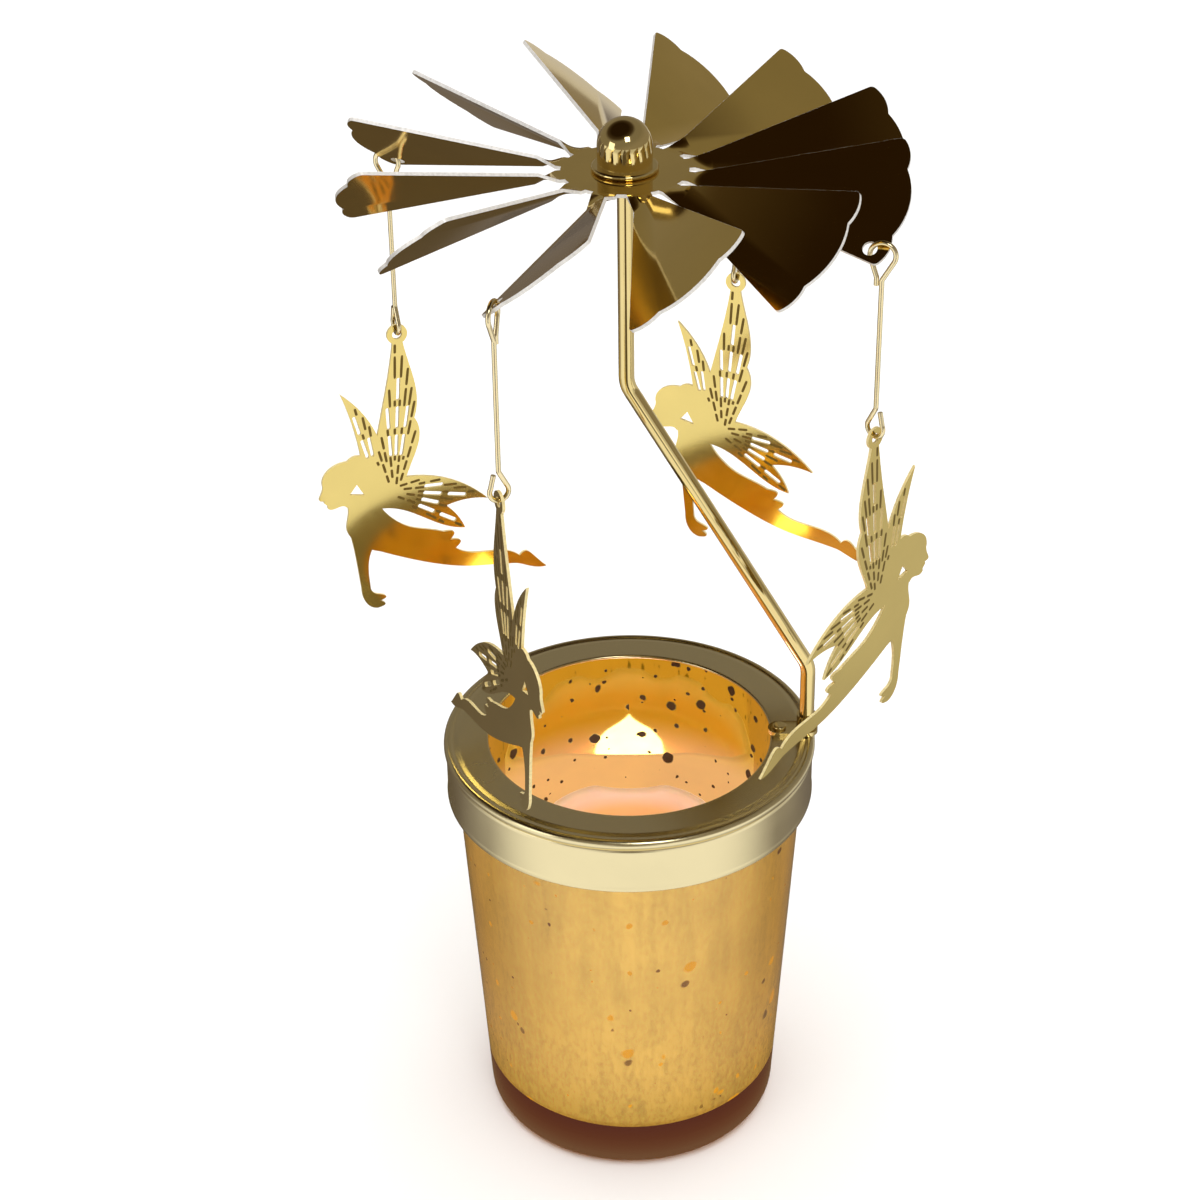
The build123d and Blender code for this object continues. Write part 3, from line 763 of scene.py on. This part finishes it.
def node_group(name, **inputs):
    """An empty Geometry Nodes tree with a geometry in and out, and inputs of the kinds named."""
    tree = bpy.data.node_groups.new(name, "GeometryNodeTree")
    tree.interface.new_socket("Geometry", in_out="OUTPUT", socket_type="NodeSocketGeometry")
    for label, kind in {"Geometry": "Geometry", **inputs}.items():
        tree.interface.new_socket(label, in_out="INPUT", socket_type=f"NodeSocket{kind}")
    source = tree.nodes.new("NodeGroupInput")
    result = tree.nodes.new("NodeGroupOutput")
    return tree, source.outputs, result


def end_group(tree, shape, finish, result):
    """Ends a tree: instances made real, and the finish set."""
    real = add_node(tree, "GeometryNodeRealizeInstances", {"Geometry": shape}).outputs["Geometry"]
    dressed = add_node(tree, "GeometryNodeSetMaterial", {"Geometry": real, "Material": finish})
    fill(result, {"Geometry": dressed.outputs["Geometry"]})
    return tree


def grown_mesh(name, data, group, **values):
    """The plain mesh that a Geometry Nodes tree makes of a curve or mesh, with its inputs set."""
    piece = linked_object(name, data)
    modifier = piece.modifiers.new(group.name, "NODES")
    modifier.node_group = group
    for item in group.interface.items_tree:
        if item.item_type == "SOCKET" and item.in_out == "INPUT" and item.name in values:
            modifier[item.identifier] = values[item.name]
    return evaluated_mesh(name, piece)


def wire_group():
    """Round wire of a given radius along a path."""
    bend_facets = 4
    if "bent wire" in bpy.data.node_groups:
        return bpy.data.node_groups["bent wire"]
    tree, given, result = node_group(
        "bent wire", Radius="Float", Sides="Int", Bend="Float", Finish="Material"
    )
    inputs = {"Curve": given["Geometry"], "Radius": given["Bend"]}
    inputs |= {"Count": bend_facets, "Limit Radius": True}
    bent = add_node(tree, "GeometryNodeFilletCurve", inputs, mode="POLY").outputs["Curve"]
    inputs = {"Radius": given["Radius"], "Resolution": given["Sides"]}
    section = add_node(tree, "GeometryNodeCurvePrimitiveCircle", inputs).outputs["Curve"]
    inputs = {"Curve": bent, "Profile Curve": section, "Fill Caps": True}
    tube = add_node(tree, "GeometryNodeCurveToMesh", inputs).outputs["Mesh"]
    smooth = add_node(tree, "GeometryNodeSetShadeSmooth", {"Geometry": tube}).outputs["Geometry"]
    return end_group(tree, smooth, given["Finish"], result)


def mark_group():
    """One flat dash with rounded ends on each point, as long and as turned as its attributes say."""
    facets, squareness = 20, 0.4
    if "etched marks" in bpy.data.node_groups:
        return bpy.data.node_groups["etched marks"]
    tree, given, result = node_group("etched marks", Breadth="Float", Depth="Float", Finish="Material")
    inputs = {"Vertices": facets, "Side Segments": 1, "Radius": 1.0, "Depth": given["Depth"]}
    oval = add_node(tree, "GeometryNodeMeshCylinder", inputs, fill_type="NGON").outputs["Mesh"]
    parts = axes(add_node(tree, "GeometryNodeInputPosition").outputs["Position"])
    squared = {"Z": parts["Z"]}
    for axis in "XY":
        far = combine("POWER", combine("ABSOLUTE", parts[axis]), squareness)
        side = combine("SIGN", parts[axis])
        squared[axis] = combine("MULTIPLY", combine("MULTIPLY", far, side), 0.5)
    corner = add_node(tree, "ShaderNodeCombineXYZ", squared).outputs["Vector"]
    dash = add_node(tree, "GeometryNodeSetPosition", {"Geometry": oval, "Position": corner})
    rotation = add_node(tree, "ShaderNodeCombineXYZ", {"Z": attribute(tree, "turn")})
    inputs = {"X": attribute(tree, "reach"), "Y": given["Breadth"], "Z": 1.0}
    size = add_node(tree, "ShaderNodeCombineXYZ", inputs)
    inputs = {"Points": given["Geometry"], "Instance": dash.outputs["Geometry"]}
    inputs |= {"Rotation": rotation.outputs["Vector"], "Scale": size.outputs["Vector"]}
    placed = add_node(tree, "GeometryNodeInstanceOnPoints", inputs).outputs["Instances"]
    return end_group(tree, placed, given["Finish"], result)


def attribute(tree, name):
    """A number that each point carries."""
    inputs = {"Name": name}
    return add_node(tree, "GeometryNodeInputNamedAttribute", inputs, data_type="FLOAT").outputs["Attribute"]


# Pieces


class CAROUSEL_OT_cup(bpy.types.Operator):
    """Finish the glass cup and add its mirrored lining"""

    bl_idname = "carousel.cup"
    bl_label = "Cup"

    def execute(self, context):
        sizes = settings().cup
        finish_node("glass_cup", "tinted glass")
        section = lining_line(sizes.coating) + lining_line(-sizes.coating)[::-1]
        mesh = turned_mesh("cup_lining", section, sizes.steps)
        mesh.materials.append(finishes()["mirror lining inside"])
        mesh.materials.append(finishes()["mirror lining outside"])
        # A little of the way down tells the two sides of the floor apart
        down = -0.2 * UP
        for face in mesh.polygons:
            across = Vector((face.center.x, face.center.y, 0.0)).normalized()
            face.material_index = 1 if face.normal.dot(across + down) > 0 else 0
        new_piece("cup_lining", mesh, "cup", "mirrored_glass")
        return {"FINISHED"}


def lining_line(offset):
    """The lining's surface, from the floor's middle up to its top, moved outwards by the offset."""
    sizes = settings().cup
    low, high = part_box("glass_cup")
    slope = (sizes.rim_radius - sizes.base_radius) / (high.z - low.z)
    top = high.z - sizes.rim_drop

    def radius_at(height):
        return sizes.base_radius + slope * height - sizes.wall + offset

    floor = sizes.floor - offset
    turn = sizes.floor_round + offset
    foot = radius_at(sizes.floor + sizes.floor_round)
    line = [(0.0, floor), (0.5 * foot, floor)]
    line += arc((foot - turn, floor + turn), turn, -90, 0, 8)
    for row in range(1, sizes.rows + 1):
        height = floor + turn + (top - floor - turn) * row / sizes.rows
        line.append((radius_at(height), height))
    return line


class CAROUSEL_OT_collar(bpy.types.Operator):
    """Turn the beaded collar with its rounded lips"""

    bl_idname = "carousel.collar"
    bl_label = "Collar"

    def execute(self, context):
        sizes = settings().collar
        low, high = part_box("collar")
        bead, lip = sizes.bead, sizes.lip
        band = high.x - sizes.bulge
        inner = band - sizes.sheet
        under = high.z - sizes.sheet
        edge = sizes.sheet / 2
        bead_centre = (high.x - bead, high.z - bead)
        groove_at = bead_centre[0] - bead
        slope_at = groove_at - sizes.slope
        neck = band - 0.35 * sizes.bulge
        # From the opening over the top, round the bead and down the band to its lip
        section = arc((sizes.opening + edge, under + edge), edge, 270, 90, 8)
        section += [(sizes.opening + edge + sizes.flat, high.z), (slope_at - sizes.flat, high.z)]
        section += [(slope_at, high.z), (groove_at, high.z - sizes.groove)]
        section += arc(bead_centre, bead, 130, -50, 16)
        section += [(neck, high.z - 2.15 * bead), (band, high.z - 2.5 * bead), (band, high.z - 2.8 * bead)]
        section += [(band, low.z + 4 * lip), (band, low.z + 3 * lip), (band + 0.4 * lip, low.z + 1.5 * lip)]
        section += arc((band - 0.6 * lip, low.z + lip), lip, 20, -90, 5)
        section += [(inner, low.z), (inner, under)]
        mesh = turned_mesh("collar_pressing", section, sizes.steps)
        mesh.materials.append(finishes()["collar gold"])
        new_piece("collar_pressing", mesh, "collar", "polished_gold", "collar")
        return {"FINISHED"}


class CAROUSEL_OT_arm(bpy.types.Operator):
    """Finish the bent arm, its foot and its needle"""

    bl_idname = "carousel.arm"
    bl_label = "Arm"

    def execute(self, context):
        for node in ("support_arm", "arm_foot", "foot_rivet"):
            finish_node(node, "polished gold")
        finish_node("pivot_needle", "needle steel")
        return {"FINISHED"}


class CAROUSEL_OT_wheel(bpy.types.Operator):
    """Finish the stamped wheel with its bright cut edges, and the hub"""

    bl_idname = "carousel.wheel"
    bl_label = "Wheel"

    def execute(self, context):
        sizes = settings().wheel
        mesh = stamped_mesh(
            "wheel_sheet", "fan_wheel", "sheet gold", "cut edge", sizes.edge_round, sizes.crease
        )
        new_piece("wheel_sheet", mesh, "wheel", "polished_gold", "fan_wheel")
        finish_node("hub_cap", "polished gold")
        finish_node("hub_bush", "turned brass")
        finish_node("pivot_seat", "needle steel")
        return {"FINISHED"}


class CAROUSEL_OT_hangers(bpy.types.Operator):
    """Bend the hanger wires, each with a loop above and a hook below"""

    bl_idname = "carousel.hangers"
    bl_label = "Hangers"

    def execute(self, context):
        sizes = settings().hanger
        side, run = sizes.end_side, sizes.end_run
        for number in HANGERS:
            swing = JOINTS[f"hanger_{number}_swing"]
            loop = Vector(swing["pos_m"])
            hook = hook_place(number)
            across = Vector(swing["axis"]).cross(UP)
            beside = figure_flight(number).cross(UP)
            loop_neck = loop - UP * sizes.loop_neck
            hook_neck = hook + UP * sizes.hook_neck
            path = [loop_neck + across * side - UP * run, loop_neck + across * side + UP * 0.5 * run]
            path += teardrop(loop, across, -UP, sizes.loop, sizes.loop_neck)
            path += [loop_neck, hook_neck]
            path += teardrop(hook, -beside, UP, sizes.hook, sizes.hook_neck)
            path += [hook_neck + beside * side - UP * 0.5 * run]
            mesh = wire_mesh(f"hanger_wire_{number}", path)
            new_piece(f"hanger_wire_{number}", mesh, f"hanger_{number}", "polished_gold", f"hanger_{number}")
        return {"FINISHED"}


def teardrop(centre, side, up, radius, neck, steps=40):
    """Points of a wire loop whose two sides meet at a neck, which lies along up from the loop's centre."""
    half = acos(radius / neck)
    angles = [half + (2 * pi - 2 * half) * step / steps for step in range(steps + 1)]
    return [centre + up * (radius * cos(a)) + side * (radius * sin(a)) for a in angles]


def wire_mesh(name, path):
    """A round wire along a path, as a plain mesh."""
    sizes = settings().hanger
    curve = bpy.data.curves.new(name, "CURVE")
    curve.dimensions = "3D"
    spline = curve.splines.new("POLY")
    spline.points.add(len(path) - 1)
    for point, place in zip(spline.points, path):
        point.co = (*place, 1.0)
    finish = finishes()["wire gold"]
    return grown_mesh(
        name, curve, wire_group(), Radius=sizes.wire, Sides=sizes.sides, Bend=sizes.bend, Finish=finish
    )


def hook_place(number):
    """Middle of the hook that a figure hangs from."""
    return Vector(JOINTS[f"fairy_{number}_twist"]["pos_m"])


def figure_flight(number):
    """Direction that a figure flies in, level and away from its toes."""
    toe_depth = 0.1 * MM
    hook = hook_place(number)
    places = [vertex.co for vertex in NODES[f"fairy_{number}"].data.vertices]
    reach = [hypot(place.x - hook.x, place.y - hook.y) for place in places]
    furthest = max(reach)
    toes = [place for place, far in zip(places, reach) if far > furthest - toe_depth]
    middle = sum(toes, Vector()) / len(toes)
    return Vector((hook.x - middle.x, hook.y - middle.y, 0.0)).normalized()


# Wings in hundredths of the figure's height, measured from its eye: where the veins start,
# their first and last angle and how many there are, then the part of the plate that the wing covers
WINGS = (
    (
        (4.0, -60.2),
        (66.0, 112.0, 18),
        (
            (2.2, 0.0), (4.4, -12.8), (9.4, -33.8), (10.4, -43.6), (8.6, -50.4), (7.2, -54.8),
            (0.0, -55.0), (-8.0, -50.0), (-8.0, 0.0),
        ),
    ),
    (
        (8.4, -58.4),
        (66.0, 96.0, 11),
        ((24.0, -14.0), (14.6, -43.0), (10.2, -43.2), (9.0, -34.6), (10.4, -30.0), (16.0, -18.0)),
    ),
    (
        (8.0, -55.8),
        (174.0, 222.0, 16),
        ((5.0, -52.0), (-32.0, -52.0), (-32.0, -80.0), (-10.9, -75.0), (1.6, -64.6), (4.0, -62.0)),
    ),
)

# Marks along a vein, in the same hundredths: where the first may start, how far the next veins' first
# is put off, and where the last ends
MARK_START, MARK_STAGGER, MARK_END = 6.0, 1.3, 58.0
# Length of a mark, what it gains along the vein, the least that is kept, and the gap after a full one
MARK_LENGTH, MARK_GAIN, MARK_LEAST, MARK_GAP = 2.0, 0.13, 1.2, 0.8
# Step in which a vein is searched
MARK_STEP = 0.2
# Room between veins below which only every second one has marks, and only every fourth
SECOND_ROOM, FOURTH_ROOM = 1.4, 0.7


def within(outline, along, above):
    """Whether a point lies inside an outline."""
    inside = False
    for (u0, v0), (u1, v1) in zip(outline, outline[1:] + outline[:1]):
        if (v0 > above) != (v1 > above) and along < u0 + (above - v0) / (v1 - v0) * (u1 - u0):
            inside = not inside
    return inside


def figure_frame(number):
    """Matrix that takes a flat drawing, with the eye at its origin, to a figure's place."""
    flight = figure_flight(number)
    eye = hook_place(number) - UP * settings().fairy.eye_drop
    turn = Matrix((flight, UP, flight.cross(UP))).transposed()
    return Matrix.Translation(eye) @ turn.to_4x4()


def plate_test(number):
    """A test of whether a point of the flat drawing lies on a figure's plate."""
    flat = NODES[f"fairy_{number}"].data
    back = figure_frame(number).inverted()
    places = [back @ vertex.co for vertex in flat.vertices]
    tree = BVHTree.FromPolygons(places, [tuple(face.vertices) for face in flat.polygons])
    above = 2 * MM
    return lambda along, up: tree.ray_cast(Vector((along, up, above)), -UP, 2 * above)[0] is not None


def vein_marks(fits, first):
    """Dashes along a vein wherever they fit, longer towards its end: their starts and ends."""
    marks = []
    start = None
    at = first
    while at < MARK_END:
        full = start is not None and at - start > MARK_LENGTH + MARK_GAIN * start
        if start is not None and (full or not fits(at)):
            if at - start > MARK_LEAST:
                marks.append((start, at))
            start = None
            at += MARK_GAP if full else 0.0
        elif start is None and fits(at):
            start = at
        at += MARK_STEP
    return marks


def wing_marks(number):
    """Middle, turn and length of every mark that fits on a figure's wings."""
    sizes = settings().fairy
    unit = sizes.height / 100
    on_plate = plate_test(number)
    side = (sizes.breadth / 2 + sizes.margin) / unit
    found = []
    for root, (first, last, count), outline in WINGS:
        between = radians(last - first) / (count - 1)
        for vein in range(count):
            angle = radians(first) + vein * between
            ahead = (cos(angle), sin(angle))

            def place(at, shift):
                """A point along the vein, moved sideways."""
                along = root[0] + at * ahead[0] - shift * ahead[1]
                return along, root[1] + at * ahead[1] + shift * ahead[0]

            def fits(at):
                """Whether the vein has room here for a mark and for plain metal on both sides."""
                room = at * between
                if (room < SECOND_ROOM and vein % 2) or (room < FOURTH_ROOM and vein % 4):
                    return False
                for shift in (-side, 0.0, side):
                    along, above = place(at, shift)
                    if not within(outline, along, above) or not on_plate(along * unit, above * unit):
                        return False
                return True

            for start, end in vein_marks(fits, MARK_START + MARK_STAGGER * (vein % 3)):
                along, above = place((start + end) / 2, 0.0)
                found.append((along * unit, above * unit, angle, (end - start) * unit))
    return found


class CAROUSEL_OT_fairies(bpy.types.Operator):
    """Finish the flat figures and etch the marks on their wings"""

    bl_idname = "carousel.fairies"
    bl_label = "Fairies"

    def execute(self, context):
        sizes = settings().fairy
        crease = settings().wheel.crease
        for number in HANGERS:
            node = f"fairy_{number}"
            plate = stamped_mesh(
                f"fairy_plate_{number}", node, "figure gold", "figure edge and highlight", sizes.edge_round, crease
            )
            new_piece(f"fairy_plate_{number}", plate, node, "polished_gold", node)
            marks = mark_mesh(f"wing_marks_{number}", number)
            marks.transform(figure_frame(number))
            new_piece(f"wing_marks_{number}", marks, node, "polished_gold")
        return {"FINISHED"}


def mark_mesh(name, number):
    """The wings' etched marks on both faces of a figure, drawn flat with the eye at the origin."""
    sizes = settings().fairy
    places, turns, reaches = [], [], []
    for along, above, turn, reach in wing_marks(number):
        for face in (-1, 1):
            places.append((along, above, face * sizes.sheet / 2))
            turns.append(turn)
            reaches.append(reach)
    mesh = bpy.data.meshes.new(name)
    mesh.from_pydata(places, [], [])
    for label, values in (("turn", turns), ("reach", reaches)):
        mesh.attributes.new(label, "FLOAT", "POINT").data.foreach_set("value", values)
    finish = finishes()["etched brown"]
    return grown_mesh(name, mesh, mark_group(), Breadth=sizes.breadth, Depth=2 * sizes.etch, Finish=finish)


class CAROUSEL_OT_candle(bpy.types.Operator):
    """Shape the candle's wavy wax body and finish its works"""

    bl_idname = "carousel.candle"
    bl_label = "Candle"

    def execute(self, context):
        mesh = wax_mesh("candle_wax")
        mesh.materials.append(finishes()["glowing wax"])
        new_piece("candle_wax", mesh, "candle", "candle_ivory", "candle_shell")
        works = {
            "candle_flame": "flame light",
            "led_lamp": "lamp lens",
            "lamp_holder": "works plastic",
            "circuit_board": "board lacquer",
            "candle_base": "works plastic",
            "coin_cell": "cell metal",
            "battery_cover": "works plastic",
            "power_switch": "switch plastic",
        }
        for node, finish in works.items():
            finish_node(node, finish)
        return {"FINISHED"}


def wax_mesh(name):
    """A tube of wax with a soft wavy rim round a dish, open below for its works."""
    wall_rows = (0.33, 0.66, 0.9)
    sizes = settings().candle
    low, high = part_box("candle_shell")
    centre = (low + high) / 2
    radius = (high.x - low.x) / 2
    inner = radius - sizes.wall
    dish = low.z + sizes.dish
    lip = sizes.wall / 2
    turn = sizes.dish_round

    def rim_height(angle):
        """Height of the wavy rim at an angle: round dips with soft shoulders between them."""
        pitch = 2 * pi / sizes.waves
        from_dip = (angle - pi / 2 + pitch / 2) % pitch - pitch / 2
        along = radius * from_dip
        dip = sizes.wave_radius - sizes.wave_depth - sqrt(max(sizes.wave_radius**2 - along**2, 0.0))
        return high.z - sizes.crown + (dip - hypot(dip, sizes.shoulder)) / 2

    mesh = bmesh.new()
    rings = []
    for step in range(sizes.steps):
        angle = 2 * pi * step / sizes.steps
        top = rim_height(angle) - lip
        section = [(inner, low.z), (radius - sizes.chamfer, low.z), (radius, low.z + sizes.chamfer)]
        section += [(radius, low.z + (top - low.z) * row) for row in wall_rows]
        section += arc((radius - lip, top), lip, 0, 180, 10)
        section += [(inner, dish + sizes.dish_wall)]
        section += arc((inner - turn, dish + turn), turn, 0, -90, 5)
        section += [(0.5 * (inner + sizes.flame_hole), dish - sizes.dish_sag), (sizes.flame_hole, dish)]
        section += [(sizes.flame_hole, dish - sizes.skin), (inner, dish - sizes.skin)]
        places = [(centre.x + r * cos(angle), centre.y + r * sin(angle), z) for r, z in section]
        rings.append([mesh.verts.new(place) for place in places])
    return joined_mesh(name, mesh, rings)


# Stage

# Table that reflections show, in metres along X or Y: where a shade starts and where it is full,
# and after that its strength at both ends where that isn't nought to one
FRONT_EDGE = (0.03, -0.095)
FAR_FADE = (-0.9, -0.45, 0.35, 1.0)
RIGHT_EDGE = (0.07, 0.24, 0.0, 0.50)
LEFT_EDGE = (-0.06, -0.20, 0.0, 0.55)
LEFT_DEPTH = (0.08, -0.02)
STRIP_SIDE = (0.11, 0.07)
STRIP_FRONT = (-0.25, -0.29)

# Middle of the painted shade on the table behind, and distances from it and from the cup's axis (for the
# painted shadow under the cup and the pale floor's fade)
SHADE_MIDDLE = (-0.03, 0.15, 0.0)
SHADE_REACH = (0.14, 0.07)
CUP_REACH = (0.030, 0.050)
PALE_REACH = (0.25, 1.1)

# Room that reflections show: height in it, from nought when level to one overhead, and the colour there
ROOM_STOPS = (
    (0.00, (0.30, 0.26, 0.21)),
    (0.30, (0.24, 0.21, 0.165)),
    (0.59, (0.235, 0.205, 0.165)),
    (0.72, (0.060, 0.040, 0.022)),
    (0.86, (0.020, 0.010, 0.003)),
)


def stage_camera():
    """The camera at the photograph's view."""
    sizes = settings().stage
    data = bpy.data.cameras.new("view")
    data.lens = sizes.lens
    data.sensor_width = 36.0
    data.clip_start = 0.01
    data.clip_end = 100.0
    camera = linked_object("view", data)
    level = cos(sizes.pitch)
    ahead = Vector((sin(sizes.yaw) * level, cos(sizes.yaw) * level, -sin(sizes.pitch)))
    right = ahead.cross(UP).normalized()
    upright = right.cross(ahead)
    leant_right = right * cos(sizes.roll) + upright * sin(sizes.roll)
    leant_up = upright * cos(sizes.roll) - right * sin(sizes.roll)
    turn = Matrix((leant_right, leant_up, -ahead)).transposed()
    camera.matrix_world = Matrix.Translation(Vector(sizes.camera_place)) @ turn.to_4x4()
    bpy.context.scene.camera = camera


def reflected_table(points, distance):
    """Colour of the table in reflections: bright in front and at both sides, dim behind, with a painted
    shade behind and a warm dark painted shadow under the cup.
    """
    sizes = settings().stage
    place = axes(points)
    across, depth = place["X"], place["Y"]
    front = span(depth, *FRONT_EDGE, smooth=True)
    front = combine("MULTIPLY", front, span(depth, *FAR_FADE, smooth=True))
    right = span(across, *RIGHT_EDGE, smooth=True)
    left = span(across, *LEFT_EDGE, smooth=True)
    left = combine("MULTIPLY", left, span(depth, *LEFT_DEPTH, smooth=True))
    lit = combine("MAXIMUM", front, combine("MAXIMUM", left, right))
    table = blend_colours(lit, sizes.table_dim, sizes.table_lit)
    strip = span(combine("ABSOLUTE", across), *STRIP_SIDE, smooth=True)
    strip = combine("MULTIPLY", strip, span(depth, *STRIP_FRONT, smooth=True))
    table = blend_colours(strip, table, sizes.table_dark)
    to_shade = combine_points("DISTANCE", "Value", {0: points, 1: SHADE_MIDDLE})
    table = blend_colours(span(to_shade, *SHADE_REACH, smooth=True), table, sizes.table_shade)
    # Painted shadow under the cup: full within 30 mm of the axis and gone by 50 mm
    return blend_colours(span(distance, *CUP_REACH, smooth=True), sizes.table_shadow_under_cup, table)


def floor_finish():
    """Pale floor to the eye, fading into the set's white; in reflections a room's table."""
    sizes = settings().stage
    material, shader = new_finish("pale floor")
    tree = material.node_tree
    tree.nodes.remove(shader)
    points = object_points(tree)
    distance = combine_points("LENGTH", "Value", {0: points})
    table = reflected_table(points, distance)
    reflected = add_node(tree, "ShaderNodeEmission", {"Color": table}).outputs["Emission"]
    pale = add_node(tree, "ShaderNodeBsdfDiffuse", {"Color": sizes.floor}).outputs["BSDF"]
    white = add_node(tree, "ShaderNodeEmission", {"Color": sizes.pale}).outputs["Emission"]
    away = span(distance, *PALE_REACH, smooth=True)
    seen = add_node(tree, "ShaderNodeMixShader", {0: away, 1: pale, 2: white}).outputs["Shader"]
    to_eye = add_node(tree, "ShaderNodeLightPath").outputs["Is Camera Ray"]
    either = add_node(tree, "ShaderNodeMixShader", {0: to_eye, 1: reflected, 2: seen}).outputs["Shader"]
    fill(tree.nodes["Material Output"], {"Surface": either})
    return material


def stage_floor():
    """A round pale floor at the cup's base."""
    facets = 96
    mesh = bmesh.new()
    bmesh.ops.create_circle(mesh, cap_ends=True, segments=facets, radius=settings().stage.floor_radius)
    made = bpy.data.meshes.new("floor")
    mesh.to_mesh(made)
    mesh.free()
    made.materials.append(floor_finish())
    floor = linked_object("floor", made)


def stage_world():
    """White to the eye; in reflections a dim room, greyer at eye level and dark overhead."""
    sizes = settings().stage
    world = bpy.data.worlds.new("studio")
    bpy.context.scene.world = world
    world.use_nodes = True
    tree = world.node_tree
    way = add_node(tree, "ShaderNodeTexCoord").outputs["Generated"]
    top = (-sin(sizes.room_lean), 0.0, cos(sizes.room_lean))
    height = combine_points("DOT_PRODUCT", "Value", {0: way, 1: top})
    ramp = add_node(tree, "ShaderNodeValToRGB", {"Fac": height})
    elements = ramp.color_ramp.elements
    while len(elements) < len(ROOM_STOPS):
        elements.new(0.5)
    for element, (position, colour) in zip(elements, ROOM_STOPS):
        element.position = position
        element.color = (*colour, 1.0)
    to_eye = add_node(tree, "ShaderNodeLightPath").outputs["Is Camera Ray"]
    seen = blend_colours(to_eye, ramp.outputs["Color"], sizes.pale)
    fill(tree.nodes["Background"], {"Color": seen, "Strength": 1.0})


def stage_light(name, place, aim, size, power, in_gloss):
    """A square soft light aimed at a point, unseen by the camera."""
    data = bpy.data.lights.new(name, "AREA")
    data.size = size
    data.energy = power
    light = linked_object(name, data)
    light.location = place
    light.rotation_euler = (Vector(aim) - Vector(place)).to_track_quat("-Z", "Y").to_euler()
    light.visible_glossy = in_gloss
    light.visible_camera = False


class CAROUSEL_OT_stage(bpy.types.Operator):
    """Set the floor, the lights and the camera"""

    bl_idname = "carousel.stage"
    bl_label = "Stage"

    def execute(self, context):
        sizes = settings().stage
        above_cup = (0, 0, 0.12)
        stage_camera()
        stage_floor()
        stage_world()
        stage_light("fill", (0, 0, 2.5), (0, 0, 0), 4.0, sizes.fill_power, in_gloss=False)
        stage_light("key", (0.25, -0.95, 1.05), above_cup, 0.42, sizes.key_power, in_gloss=True)
        stage_light("left window", (-1.1, -0.75, 0.35), above_cup, 0.6, sizes.window_power, in_gloss=True)
        bpy.context.scene.view_settings.view_transform = "Standard"
        return {"FINISHED"}


OPERATORS = (
    CAROUSEL_OT_stage,
    CAROUSEL_OT_cup,
    CAROUSEL_OT_collar,
    CAROUSEL_OT_arm,
    CAROUSEL_OT_wheel,
    CAROUSEL_OT_hangers,
    CAROUSEL_OT_fairies,
    CAROUSEL_OT_candle,
)


class CAROUSEL_PT_panel(bpy.types.Panel):
    """Buttons for each piece of the carousel"""

    bl_idname = "CAROUSEL_PT_panel"
    bl_label = "Candle Carousel"
    bl_space_type = "VIEW_3D"
    bl_region_type = "UI"
    bl_category = "Carousel"

    def draw(self, context):
        for operator in OPERATORS:
            self.layout.operator(operator.bl_idname)


GROUPS = (
    CupSizes,
    CollarSizes,
    WheelSizes,
    HangerSizes,
    FairySizes,
    CandleSizes,
    FinishColours,
    StageSizes,
    CarouselSettings,
)
CLASSES = (*GROUPS, *OPERATORS, CAROUSEL_PT_panel)


def register():
    for cls in CLASSES:
        bpy.utils.register_class(cls)
    bpy.types.Scene.carousel = PointerProperty(type=CarouselSettings)


def unregister():
    del bpy.types.Scene.carousel
    for cls in reversed(CLASSES):
        bpy.utils.unregister_class(cls)


def main():
    register()
    for operator in OPERATORS:
        group, action = operator.bl_idname.split(".")
        getattr(getattr(bpy.ops, group), action)()


if __name__ == "__main__":
    main()
